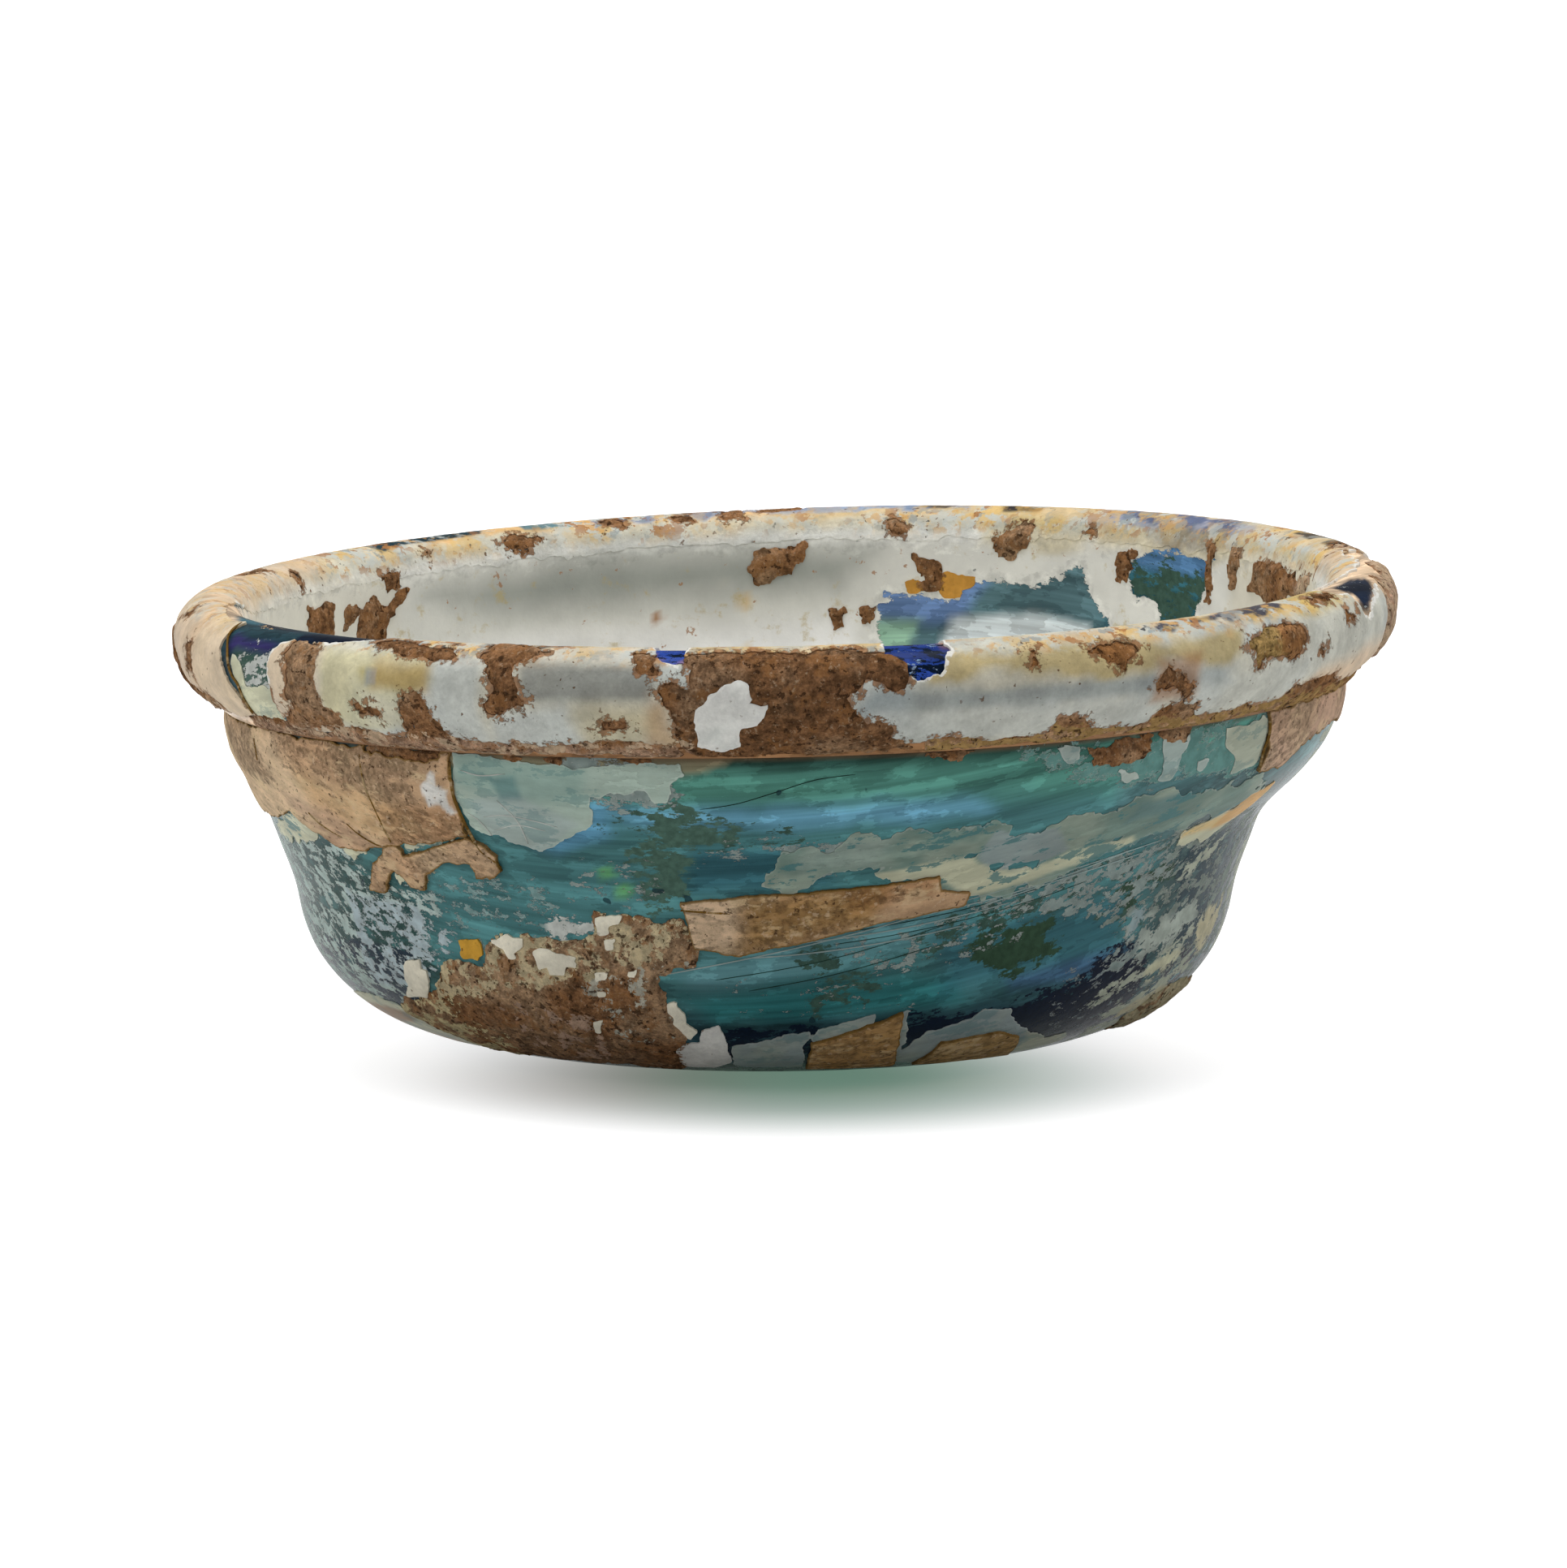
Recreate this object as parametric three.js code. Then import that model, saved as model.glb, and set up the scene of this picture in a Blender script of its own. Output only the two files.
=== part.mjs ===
// A small blown glass dish with a rolled rim and a folded collar, and the weathering that lies on it.
// Millimetres, +Z up. The origin is on the standing surface, under the middle of the rim.
// Angles are in degrees, seen from above, from the front (-Y) towards the right (+X).

import * as THREE from "three";

// Driving dimensions of the glass
const vesselHeight = 29.8;
const rimRadius = 39.7;
const rollRadius = 2.3;
const collarHeight = 6.9;
const neckInset = 3.35;
const lipLap = 0.4;
const foldGap = 0.25;
const foldThickness = 1.2;
const lipThickness = 0.55;
const footRadius = 17.2;
const footWidth = 3;
const kickHeight = 1.2;
const wallThickness = 1.4;
const floorThickness = 2.1;

// How the blowing left it out of true
const rimTilt = 0.03;
const rimWave = 0.18;
const rimWaveTurn = 29;
const bodyShift = 1.25;
const shiftStartShare = 0.62;
const shiftEndShare = 0.83;

// Thickness of what lies on the glass, and the room that each piece keeps to the glass and its neighbours
const patinaThickness = 0.2;
const sheetThickness = 0.28;
const soilThickness = 0.36;
const filmThickness = 0.15;
const restGap = 0.24;
const sideGap = 0.3;

// Fineness of the meshes
const latheSegments = 60;
const rollSteps = 8;
const columnAngle = 3;

// The wall from the foot to the neck: share of the way out, and share of the way up to the lip
const wallShares = [
  [0.22, 0.03], [0.41, 0.085], [0.54, 0.16], [0.63, 0.25], [0.68, 0.345], [0.71, 0.455],
  [0.755, 0.56], [0.805, 0.66], [0.9, 0.76], [0.975, 0.865], [1, 0.945],
];
// The collar's face from its lip to the roll: share of the way out, and share of the way up
const collarShares = [[0, 0], [0.26, 0.14], [0.62, 0.36], [0.9, 0.63]];

// Heights and radii that follow from the dimensions
const neckRadius = rimRadius - neckInset;
const lipRadius = neckRadius + lipLap;
const lipHeight = vesselHeight - collarHeight;
const rollCentre = new THREE.Vector2(rimRadius - rollRadius, vesselHeight - rollRadius);
const hollowRadius = rollRadius - foldThickness;

function arc(centre, radius, from, to, steps) {
  const points = [];
  for (let i = 0; i <= steps; i++) {
    const angle = THREE.MathUtils.degToRad(THREE.MathUtils.lerp(from, to, i / steps));
    points.push(new THREE.Vector2(centre.x + radius * Math.cos(angle), centre.y + radius * Math.sin(angle)));
  }
  return points;
}

// A chain of points in the half plane of radius and height. side is +1 where the open side lies to the left
// of the direction of travel, and -1 where it lies to the right.
class Chain {
  constructor(points, side) {
    this.points = points;
    this.side = side;
    this.reach = [0];
    for (let i = 1; i < points.length; i++) {
      this.reach.push(this.reach[i - 1] + points[i].distanceTo(points[i - 1]));
    }
    this.length = this.reach[points.length - 1];
  }

  // The normal of the stretch that ends at point i
  stretchNormal(i) {
    const last = this.points.length - 1;
    const end = THREE.MathUtils.clamp(i, 1, last);
    const along = this.points[end].clone().sub(this.points[end - 1]).normalize();
    return new THREE.Vector2(-along.y, along.x).multiplyScalar(this.side);
  }

  normal(i) {
    return this.stretchNormal(i).add(this.stretchNormal(i + 1)).normalize();
  }

  offset(i, distance) {
    return this.points[i].clone().addScaledVector(this.normal(i), distance);
  }

  // The point that lies the given length along the chain, and the given distance off it
  at(length, distance) {
    const place = THREE.MathUtils.clamp(length, 0, this.length);
    let i = 1;
    while (i < this.points.length - 1 && this.reach[i] < place) i++;
    const share = (place - this.reach[i - 1]) / (this.reach[i] - this.reach[i - 1]);
    const point = this.points[i - 1].clone().lerp(this.points[i], share);
    const normal = this.normal(i - 1).lerp(this.normal(i), share).normalize();
    return point.addScaledVector(normal, distance);
  }
}

// Sections of the glass
function wallPoints() {
  return wallShares.map(([out, up]) => new THREE.Vector2(
    THREE.MathUtils.lerp(footRadius, neckRadius, out),
    lipHeight * up,
  ));
}

function footPoints() {
  return [
    new THREE.Vector2(0, kickHeight),
    new THREE.Vector2((footRadius - footWidth) * 0.55, kickHeight * 0.6),
    new THREE.Vector2(footRadius - footWidth, 0),
    new THREE.Vector2(footRadius, 0),
  ];
}

function collarPoints() {
  return collarShares.map(([out, up]) => new THREE.Vector2(
    THREE.MathUtils.lerp(lipRadius, rimRadius, out),
    THREE.MathUtils.lerp(lipHeight, rollCentre.y, up),
  ));
}

// The hollow in the roll: up along the neck, over, and down behind the collar
function hollowPoints() {
  const collar = new Chain(collarPoints(), -1);
  const behind = [3, 2, 1].map((i) => {
    const thickness = THREE.MathUtils.lerp(lipThickness, foldThickness, collarShares[i][1] / collarShares[3][1]);
    return collar.offset(i, -thickness);
  });
  return [
    new THREE.Vector2(neckRadius, lipHeight),
    ...arc(rollCentre, hollowRadius, 180, 0, 4),
    ...behind,
    new THREE.Vector2(neckRadius + foldGap, lipHeight + lipThickness),
  ];
}

function insidePoints() {
  const outside = new Chain([...footPoints(), ...wallPoints()], -1);
  const firstWall = footPoints().length;
  const points = [];
  for (let i = wallShares.length - 1; i >= 1; i--) {
    const share = wallShares[i][1] / wallShares[wallShares.length - 1][1];
    const thickness = THREE.MathUtils.lerp(floorThickness, wallThickness, Math.sqrt(share));
    points.push(outside.offset(firstWall + i, -thickness));
  }
  points.push(new THREE.Vector2(footRadius, floorThickness));
  points.push(new THREE.Vector2((footRadius - footWidth) * 0.55, kickHeight * 0.6 + floorThickness));
  points.push(new THREE.Vector2(0, kickHeight + floorThickness));
  return points;
}

function rimPoints() {
  return [...collarPoints(), ...arc(rollCentre, rollRadius, -10, 180, rollSteps), ...insidePoints()];
}

// The two faces that weathering lies on: the wall from the neck down, and the rim from the lip over the top
// and down the inside
const wallFace = new Chain([new THREE.Vector2(neckRadius, lipHeight), ...wallPoints().reverse(),
  new THREE.Vector2(footRadius, 0)], 1);
const rimFace = new Chain(rimPoints(), -1);
// The lengths of these faces as the outlines below were drawn, the radius that turns their angles into
// lengths, and the height of a row of the grid that the outlines are cut from
wallFace.drawnLength = 34;
wallFace.drawnRadius = 32.5;
wallFace.drawnRow = 1.2994735314;
rimFace.drawnLength = 65;
rimFace.drawnRadius = 38;
rimFace.drawnRow = 1.2568283427;

// Tilts the rim, waves it and shifts the body under it, as the blowing did
function lean(point) {
  const share = THREE.MathUtils.smoothstep(point.z / lipHeight, shiftStartShare, shiftEndShare);
  const hold = 0.5 * Math.min(1, point.z / lipHeight) + 0.5 * share;
  const turn = Math.atan2(point.y, point.x);
  const out = Math.hypot(point.x, point.y) / rimRadius;
  const wave = rimWave * out * out * Math.sin(2 * turn - THREE.MathUtils.degToRad(rimWaveTurn));
  const lift = (rimTilt * point.x + wave) * hold;
  return new THREE.Vector3(point.x - bodyShift * (1 - share), point.y, point.z + lift);
}

function turnOut(angle, section) {
  const turn = THREE.MathUtils.degToRad(angle);
  return lean(new THREE.Vector3(section.x * Math.sin(turn), -section.x * Math.cos(turn), section.y));
}

function glassGeometry() {
  const profile = [...footPoints(), ...wallPoints(), ...hollowPoints(), ...rimPoints()];
  const geometry = new THREE.LatheGeometry(profile, latheSegments);
  geometry.rotateX(Math.PI / 2);
  const position = geometry.attributes.position;
  for (let i = 0; i < position.count; i++) {
    const moved = lean(new THREE.Vector3().fromBufferAttribute(position, i));
    position.setXYZ(i, moved.x, moved.y, moved.z);
  }
  geometry.computeVertexNormals();
  return geometry;
}

// Signed distance from a point to a closed outline, positive inside
function depthIn(outline, point) {
  let inside = false;
  let nearest = Infinity;
  for (let i = 0, j = outline.length - 1; i < outline.length; j = i++) {
    const a = outline[j];
    const b = outline[i];
    const side = b.clone().sub(a);
    const toPoint = point.clone().sub(a);
    const share = THREE.MathUtils.clamp(toPoint.dot(side) / side.lengthSq(), 0, 1);
    nearest = Math.min(nearest, toPoint.addScaledVector(side, -share).length());
    const crosses = (a.y > point.y) !== (b.y > point.y);
    if (crosses && point.x < a.x + (side.x * (point.y - a.y)) / side.y) inside = !inside;
  }
  return inside ? nearest : -nearest;
}

// An outline is a list of angle and drawn length along the face. Inside here, both are lengths.
function flatOutline(face, outline) {
  const lengthPerDegree = THREE.MathUtils.degToRad(face.drawnRadius);
  return outline.map(([angle, length]) => new THREE.Vector2(angle * lengthPerDegree, length));
}

// The cells of a grid that lie in the outline, without corner contacts, as a set of "column,row"
function cellsIn(depth, low, high, cell) {
  const cells = new Set();
  const key = (i, j) => `${i},${j}`;
  const first = [Math.floor(low.x / cell.x), Math.floor(low.y / cell.y)];
  const last = [Math.ceil(high.x / cell.x), Math.ceil(high.y / cell.y)];
  for (let i = first[0]; i < last[0]; i++) {
    for (let j = first[1]; j < last[1]; j++) {
      if (depth(new THREE.Vector2((i + 0.5) * cell.x, (j + 0.5) * cell.y)) > 0) cells.add(key(i, j));
    }
  }
  for (let pass = 0; pass < 4; pass++) {
    for (let i = first[0]; i <= last[0]; i++) {
      for (let j = first[1]; j <= last[1]; j++) {
        const [a, b, c, d] = [key(i - 1, j - 1), key(i, j - 1), key(i - 1, j), key(i, j)];
        const falling = cells.has(a) && cells.has(d) && !cells.has(b) && !cells.has(c);
        const rising = cells.has(b) && cells.has(c) && !cells.has(a) && !cells.has(d);
        if (falling) cells.delete(a);
        if (rising) cells.delete(b);
      }
    }
  }
  return largestPatch(cells);
}

function largestPatch(cells) {
  const left = new Set(cells);
  let best = new Set();
  for (const start of cells) {
    if (!left.delete(start)) continue;
    const patch = new Set([start]);
    const queue = [start];
    while (queue.length > 0) {
      const [i, j] = queue.pop().split(",").map(Number);
      for (const next of [`${i + 1},${j}`, `${i - 1},${j}`, `${i},${j + 1}`, `${i},${j - 1}`]) {
        if (left.delete(next)) {
          patch.add(next);
          queue.push(next);
        }
      }
    }
    if (patch.size > best.size) best = patch;
  }
  return best;
}

// A thin closed solid that follows the glass inside an outline, clear of the outlines in avoid
function crustGeometry(face, outline, thickness, avoid) {
  const stretch = face.length / face.drawnLength;
  const room = sideGap / stretch;
  const edge = flatOutline(face, outline);
  const others = avoid.map((other) => flatOutline(face, other));
  const depth = (point) => Math.min(
    depthIn(edge, point),
    ...others.map((other) => -depthIn(other, point) - room),
  );
  const cell = new THREE.Vector2(columnAngle * THREE.MathUtils.degToRad(face.drawnRadius), face.drawnRow);
  const low = new THREE.Vector2(Infinity, Infinity);
  const high = new THREE.Vector2(-Infinity, -Infinity);
  edge.forEach((point) => {
    low.min(point);
    high.max(point);
  });
  const cells = cellsIn(depth, low, high, cell);
  const corners = new Map();
  const positions = [];
  const triangles = [];

  // A corner of the grid, drawn in to the outline where it lies on the edge of the patch
  function cornerPlace(i, j) {
    const around = [[i - 1, j - 1], [i, j - 1], [i - 1, j], [i, j]].filter(([a, b]) => cells.has(`${a},${b}`));
    const place = new THREE.Vector2(i * cell.x, j * cell.y);
    if (around.length === 4) return place;
    const start = place.clone();
    const probe = 0.05;
    for (let step = 0; step < 3; step++) {
      const here = depth(place);
      const slope = new THREE.Vector2(
        (depth(new THREE.Vector2(place.x + probe, place.y)) - here) / probe,
        (depth(new THREE.Vector2(place.x, place.y + probe)) - here) / probe,
      );
      if (slope.length() > 0.3) place.addScaledVector(slope, -here / slope.lengthSq());
    }
    const move = place.sub(start);
    move.x = THREE.MathUtils.clamp(move.x, -0.38 * cell.x, 0.38 * cell.x);
    move.y = THREE.MathUtils.clamp(move.y, -0.38 * cell.y, 0.38 * cell.y);
    const middle = new THREE.Vector2();
    around.forEach(([a, b]) => middle.add(new THREE.Vector2((a + 0.5) * cell.x, (b + 0.5) * cell.y)));
    const inwards = middle.divideScalar(around.length).sub(start).normalize();
    return start.add(move).addScaledVector(inwards, 0.5 * room);
  }

  function corner(i, j) {
    const key = `${i},${j}`;
    if (!corners.has(key)) {
      const place = cornerPlace(i, j);
      const angle = THREE.MathUtils.radToDeg(place.x / face.drawnRadius);
      for (const distance of [restGap, restGap + thickness]) {
        const point = turnOut(angle, face.at(place.y * stretch, distance));
        positions.push(point.x, point.y, point.z);
      }
      corners.set(key, positions.length / 3 - 2);
    }
    return corners.get(key);
  }

  function quad(a, b, c, d) {
    if (face.side < 0) {
      triangles.push(a, b, c, a, c, d);
    } else {
      triangles.push(a, c, b, a, d, c);
    }
  }

  for (const key of cells) {
    const [i, j] = key.split(",").map(Number);
    const ring = [corner(i, j), corner(i + 1, j), corner(i + 1, j + 1), corner(i, j + 1)];
    quad(ring[0] + 1, ring[1] + 1, ring[2] + 1, ring[3] + 1);
    quad(ring[3], ring[2], ring[1], ring[0]);
    const beside = [[i, j - 1], [i + 1, j], [i, j + 1], [i - 1, j]];
    beside.forEach(([a, b], side) => {
      if (cells.has(`${a},${b}`)) return;
      const from = ring[side];
      const to = ring[(side + 1) % 4];
      quad(from, to, to + 1, from + 1);
    });
  }
  const geometry = new THREE.BufferGeometry();
  geometry.setAttribute("position", new THREE.Float32BufferAttribute(positions, 3));
  geometry.setIndex(triangles);
  geometry.computeVertexNormals();
  return geometry;
}

// Outlines of the pieces on the rim: angle, and length from the lip up the collar, over the top and inside
const rimPieces = {
  soil_rim_left: [[-53.5, 7.9], [-50.5, 8.6], [-48.6, 7.8], [-48.4, 6], [-49, 4.6], [-46, 3.1], [-43.5, 1.2],
    [-46, 0.6], [-54.5, 0.6], [-54, 3], [-52.8, 4.6], [-52, 5.8]],
  soil_lip_left: [[-66, 0.3], [-65, 1.6], [-56, 1.7], [-52, 1.4], [-43.6, 2.3], [-40, 1.9], [-38, 2.4], [-38, 4.6],
    [-35, 4.8], [-34.2, 3.2], [-31.5, 2.1], [-28.5, 1.7], [-22, 1.4], [-17.5, 2.4], [-13, 2], [-10.4, 1.6],
    [-9.8, 0.3]],
  soil_rim_middle_left: [[-28.7, 8], [-25, 8], [-24.6, 5.6], [-23.6, 4.8], [-24.6, 3.6], [-27, 3.4], [-28.6, 5]],
  soil_rim_centre: [[-12, 7.6], [-6, 8.2], [0, 8.1], [6, 8.3], [9.4, 7.8], [10.6, 6.4], [9.5, 5.6], [6.8, 5.5],
    [5.9, 4.4], [8.8, 3.8], [9.6, 3], [11.6, 2.7], [13.2, 0.6], [-9.4, 0.6], [-10.2, 3.4], [-11.6, 5]],
  soil_rim_right: [[45.5, 7.6], [49, 8.4], [54.5, 8.2], [55.8, 6.6], [54, 4.9], [49.5, 4.8], [46.5, 6]],
  soil_lip_right: [[13.6, 0.3], [13.8, 1.5], [20, 1.2], [25.5, 1.6], [26.6, 2.7], [28.6, 2.5], [29.8, 1.6], [36, 1.4],
    [37.8, 2.7], [40, 3.2], [42, 2.6], [43.4, 1.6], [50, 1.5], [55.6, 1.8], [56.2, 2.6], [60, 3], [64, 2.8],
    [69, 1.7], [77, 1.3], [77, 0.3]],
  soil_rim_far_right: [[79, 3.6], [78.4, 6.4], [82, 8.6], [90, 9], [98, 7.4], [103, 6], [99, 4], [92, 2.2],
    [84, 1.6]],
  soil_rim_back_right: [[128, 1], [131, 4.4], [138, 6.8], [147, 5.6], [150, 2.8], [144, 0.7]],
  soil_rim_back_left: [[203, 7.8], [214, 8.4], [219, 5.8], [215, 3], [219, 0.8], [204, 0.7], [200, 3.6]],
  soil_rim_far_left: [[266, 1], [263, 4], [270, 6.6], [279, 4.4], [283, 1.2], [274, 0.6]],
  soil_lip_far_right: [[80, 0.3], [83, 1.3], [100, 1.7], [114, 1.4], [127, 1.8], [127, 0.3]],
  soil_lip_back: [[151, 0.3], [152, 1.5], [166, 2.2], [176, 1.6], [190, 1.4], [199, 2.1], [201, 0.3]],
  soil_lip_back_left: [[220, 0.3], [221, 1.7], [238, 1.3], [246, 2], [261, 1.6], [264, 0.3]],
  film_rim_left: [[-61.9, 1.9], [-56.4, 1.9], [-55.9, 4.5], [-60.4, 4.4], [-61.2, 5.7], [-63.2, 6.5],
    [-62.2, 4.6]],
  soil_inner_left: [[226.5, 13.6], [229.5, 14.2], [231, 13.4], [234, 14.4], [234.6, 16.4], [233, 18.6],
    [229.8, 18.4], [229, 15.8]],
  soil_inner_far_left: [[238.8, 13.6], [244.6, 13.2], [245.4, 15], [244, 17.4], [239.6, 17.2]],
  soil_inner_back: [[178, 12.8], [183.5, 12.8], [185.4, 14], [183.6, 15.4], [178.6, 15.2]],
  soil_inner_right: [[101, 12.6], [109, 12.4], [117, 12.8], [118.4, 14.4], [114, 15], [108.5, 14.2], [103, 14.2]],
  soil_inner_floor: [[128, 32], [150, 30.5], [168, 33.5], [163, 39], [142, 41], [126, 37.5]],
  patina_rim_front_left: [[-56, 1.3], [-10, 1.3], [-9.8, 3.6], [-12.6, 5.4], [-12.8, 12.4], [-30, 12.6],
    [-39.5, 12.4], [-42.6, 9], [-48, 7.9], [-53.6, 8.2], [-56.2, 7], [-55.8, 4.6]],
  patina_rim_front_top: [[-9.4, 8.1], [9.3, 8], [9.5, 12.4], [-9.8, 12.4]],
  patina_rim_front_right: [[6.2, 5.2], [6.2, 3.9], [13.6, 1.3], [55.5, 1.3], [57, 2.8], [72, 1.5], [76.6, 3.2],
    [79, 7.8], [75, 7], [71, 6.1], [69.6, 6.4], [69.6, 8.2], [67, 8.6], [66.6, 10.2], [78, 10.3], [84, 9.2],
    [94, 9.6], [94, 12.5], [16, 12.5], [14, 10.4], [15.3, 7], [14.6, 5.7]],
  patina_rim_back_right: [[97, 9.4], [104.5, 6.2], [100, 3.4], [94, 1.4], [180, 1.3], [180, 12.4], [97, 12.4]],
  patina_rim_back_left: [[180, 1.3], [291, 1.3], [298, 2], [296.5, 4.4], [294, 6.6], [294, 8.7], [280, 9.6],
    [270, 11], [262, 12.6], [180, 12.4]],
};

// Outlines of the pieces on the wall: angle, and length from the neck down to the foot
const wallPieces = {
  crust_sheet_left: [[-128, 1], [-35.5, 0.6], [-35.3, 6.4], [-40, 7.6], [-46.5, 8.2], [-52, 9.4], [-57, 9.4],
    [-62, 8.3], [-66, 6.6], [-72, 7.8], [-84, 8.6], [-100, 10], [-112, 9], [-124, 6]],
  crust_flake_left: [[-35.2, 7], [-33, 8.2], [-30.8, 9.8], [-34.8, 10.2], [-41, 10.4], [-43, 11.6], [-47.5, 11.6],
    [-52, 12.8], [-53.4, 12], [-49, 9], [-43, 8.6]],
  film_sheet_left: [[-35, 0.6], [-14.5, 0.8], [-12.8, 2.6], [-16, 3.6], [-20.6, 3.8], [-20, 5.6], [-24, 6.8],
    [-26.4, 8.1], [-30, 7.3], [-33, 5.6], [-35, 5.2]],
  soil_flake_middle: [[-9.8, 11.6], [-2, 11], [8, 10.7], [20, 9.9], [20.4, 11], [24, 11.3], [23.6, 12.2],
    [14, 13.2], [4, 14.6], [-3, 15.5], [-8.4, 15]],
  soil_wall_lower_left: [[-57, 21.6], [-50, 20.2], [-44.4, 18.6], [-43, 16.8], [-36, 15.4], [-20.4, 14.2],
    [-20, 12.8], [-11, 12.8], [-9.4, 15.2], [-12.6, 17], [-12, 19], [-10.6, 20.6], [-14, 24.4], [-13, 27.6],
    [-46, 27.6], [-52, 24.6]],
  white_flake_lower: [[-10, 20.6], [-6.4, 20.8], [-5.2, 23.6], [-6.4, 27.6], [-12.4, 27.6], [-13.4, 24.6]],
  soil_base_centre: [[6, 22.8], [12, 21.4], [17.4, 20], [18.6, 24], [20.6, 27.6], [6.4, 27.6]],
  soil_base_right: [[24.6, 23.4], [33, 22.6], [37.4, 23.6], [40, 26], [42, 27.6], [23.6, 27.6]],
  soil_seam_right: [[31, 0.4], [40.4, 0.4], [38.6, 1.4], [35, 2], [32, 1.6]],
  crust_flake_right: [[58.2, 0.6], [112, 0.8], [106, 4], [92, 3.4], [78, 2.4], [68, 2.8], [63, 4.4], [58.6, 4.2]],
  film_strip_right: [[53.6, 8.8], [61, 7.4], [62, 6], [66.4, 6], [66, 8.2], [60, 9.8], [54, 9.9]],
  soil_wall_right: [[60, 23.6], [63, 21.4], [70, 21], [84, 22.4], [98, 23], [94, 26.4], [74, 27], [62, 25.6]],
  crust_sheet_back: [[150, 0.8], [196, 0.8], [203, 3.6], [196, 8.4], [184, 7.2], [172, 10.4], [158, 8], [148, 4]],
  soil_wall_back: [[150, 20], [160, 15.4], [176, 16.6], [188, 14.2], [198, 18.6], [192, 26], [158, 27]],
  soil_wall_far_left: [[228, 22.6], [240, 20.6], [258, 21], [262, 23.4], [258, 27], [234, 27]],
  film_block_right: [[50.4, 0.5], [50.8, 1.6], [53, 2.8], [52.8, 4], [57.2, 3.7], [57.9, 2.6], [57.9, 0.5]],
  film_layer_right: [[3, 7.6], [10, 6.6], [20, 6.4], [32, 6], [40, 4.8], [50, 4.4], [57.6, 4.5], [59.6, 6.6],
    [53.2, 8.4], [50, 8.9], [36, 10.4], [24.8, 11.6], [24.4, 11], [21, 10.8], [20.4, 9.6], [10, 10.3], [4, 9.4]],
  film_veil_centre: [[-4.4, 23.4], [0, 22.6], [5.6, 21.8], [5.6, 27.4], [-4.8, 27.4]],
  film_veil_right: [[19.4, 27.2], [19.6, 24.4], [22, 22.2], [26, 21.5], [28.8, 20.2], [33, 20.5], [35.8, 22.2],
    [38.6, 23.2], [44, 24.6], [48, 24], [51, 26], [46, 27.4], [42.6, 27.4]],
  film_skirt_left: [[-77, 9.6], [-73, 8.2], [-66, 7], [-62, 8.7], [-66, 9.9], [-72, 10.4]],
  film_base_left: [[-96, 25.2], [-84, 23.6], [-70, 21.8], [-60, 21.4], [-56, 22.6], [-52, 25], [-47, 27.4],
    [-60, 28], [-80, 28], [-94, 27.4]],
};

const glass = new THREE.MeshStandardMaterial({ color: 0x2f5f68, roughness: 0.22, metalness: 0 });
const patina = new THREE.MeshStandardMaterial({ color: 0xcfc8b4, roughness: 0.55, metalness: 0 });
const soil = new THREE.MeshStandardMaterial({ color: 0x8a6544, roughness: 0.95, metalness: 0 });
const crust = new THREE.MeshStandardMaterial({ color: 0xc99f76, roughness: 0.75, metalness: 0 });
const film = new THREE.MeshStandardMaterial({ color: 0xa9b3a4, roughness: 0.4, metalness: 0 });

// What a piece is, from the first word of its name
const kinds = {
  soil: { material: soil, thickness: soilThickness },
  patina: { material: patina, thickness: patinaThickness },
  crust: { material: crust, thickness: sheetThickness },
  film: { material: film, thickness: filmThickness },
  white: { material: patina, thickness: patinaThickness },
};

const dish = new THREE.Group();

function addMesh(name, geometry, material) {
  const mesh = new THREE.Mesh(geometry, material);
  mesh.name = name;
  dish.add(mesh);
}

// Each piece keeps clear of those that come before it in its list
function addPieces(face, pieces) {
  const placed = [];
  for (const [name, outline] of Object.entries(pieces)) {
    const { material, thickness } = kinds[name.split("_")[0]];
    addMesh(name, crustGeometry(face, outline, thickness, placed), material);
    placed.push(outline);
  }
}

addMesh("glass_vessel", glassGeometry(), glass);
addPieces(rimFace, rimPieces);
addPieces(wallFace, wallPieces);

export default dish;
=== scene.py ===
import math
from collections import namedtuple

import bpy
import numpy as np
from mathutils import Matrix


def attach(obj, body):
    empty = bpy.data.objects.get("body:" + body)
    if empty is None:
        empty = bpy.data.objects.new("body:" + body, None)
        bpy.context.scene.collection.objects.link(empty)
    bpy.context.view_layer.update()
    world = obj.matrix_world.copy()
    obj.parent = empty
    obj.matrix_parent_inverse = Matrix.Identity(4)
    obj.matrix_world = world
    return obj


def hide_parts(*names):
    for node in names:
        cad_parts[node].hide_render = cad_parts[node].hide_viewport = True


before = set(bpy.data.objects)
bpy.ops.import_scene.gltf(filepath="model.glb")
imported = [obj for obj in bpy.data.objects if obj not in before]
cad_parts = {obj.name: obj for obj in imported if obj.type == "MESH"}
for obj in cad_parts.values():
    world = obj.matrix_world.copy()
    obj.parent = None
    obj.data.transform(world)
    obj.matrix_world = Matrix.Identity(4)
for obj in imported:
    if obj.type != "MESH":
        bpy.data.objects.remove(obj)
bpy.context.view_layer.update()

# Sizes of the glass, in millimetres, as the model has them
MM = 0.001
VESSEL_HEIGHT = 29.8
RIM_RADIUS = 39.7
ROLL_RADIUS = 2.3
COLLAR_HEIGHT = 6.9
NECK_INSET = 3.35
LIP_LAP = 0.4
FOLD_GAP = 0.25
FOLD_THICKNESS = 1.2
LIP_THICKNESS = 0.55
FOOT_RADIUS = 17.2
FOOT_WIDTH = 3.0
KICK_HEIGHT = 1.2
WALL_THICKNESS = 1.4
FLOOR_THICKNESS = 2.1
RIM_TILT = 0.03
RIM_WAVE = 0.18
RIM_WAVE_TURN = math.radians(29)
BODY_SHIFT = 1.25
SHIFT_FROM, SHIFT_TO = 0.62, 0.83
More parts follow.
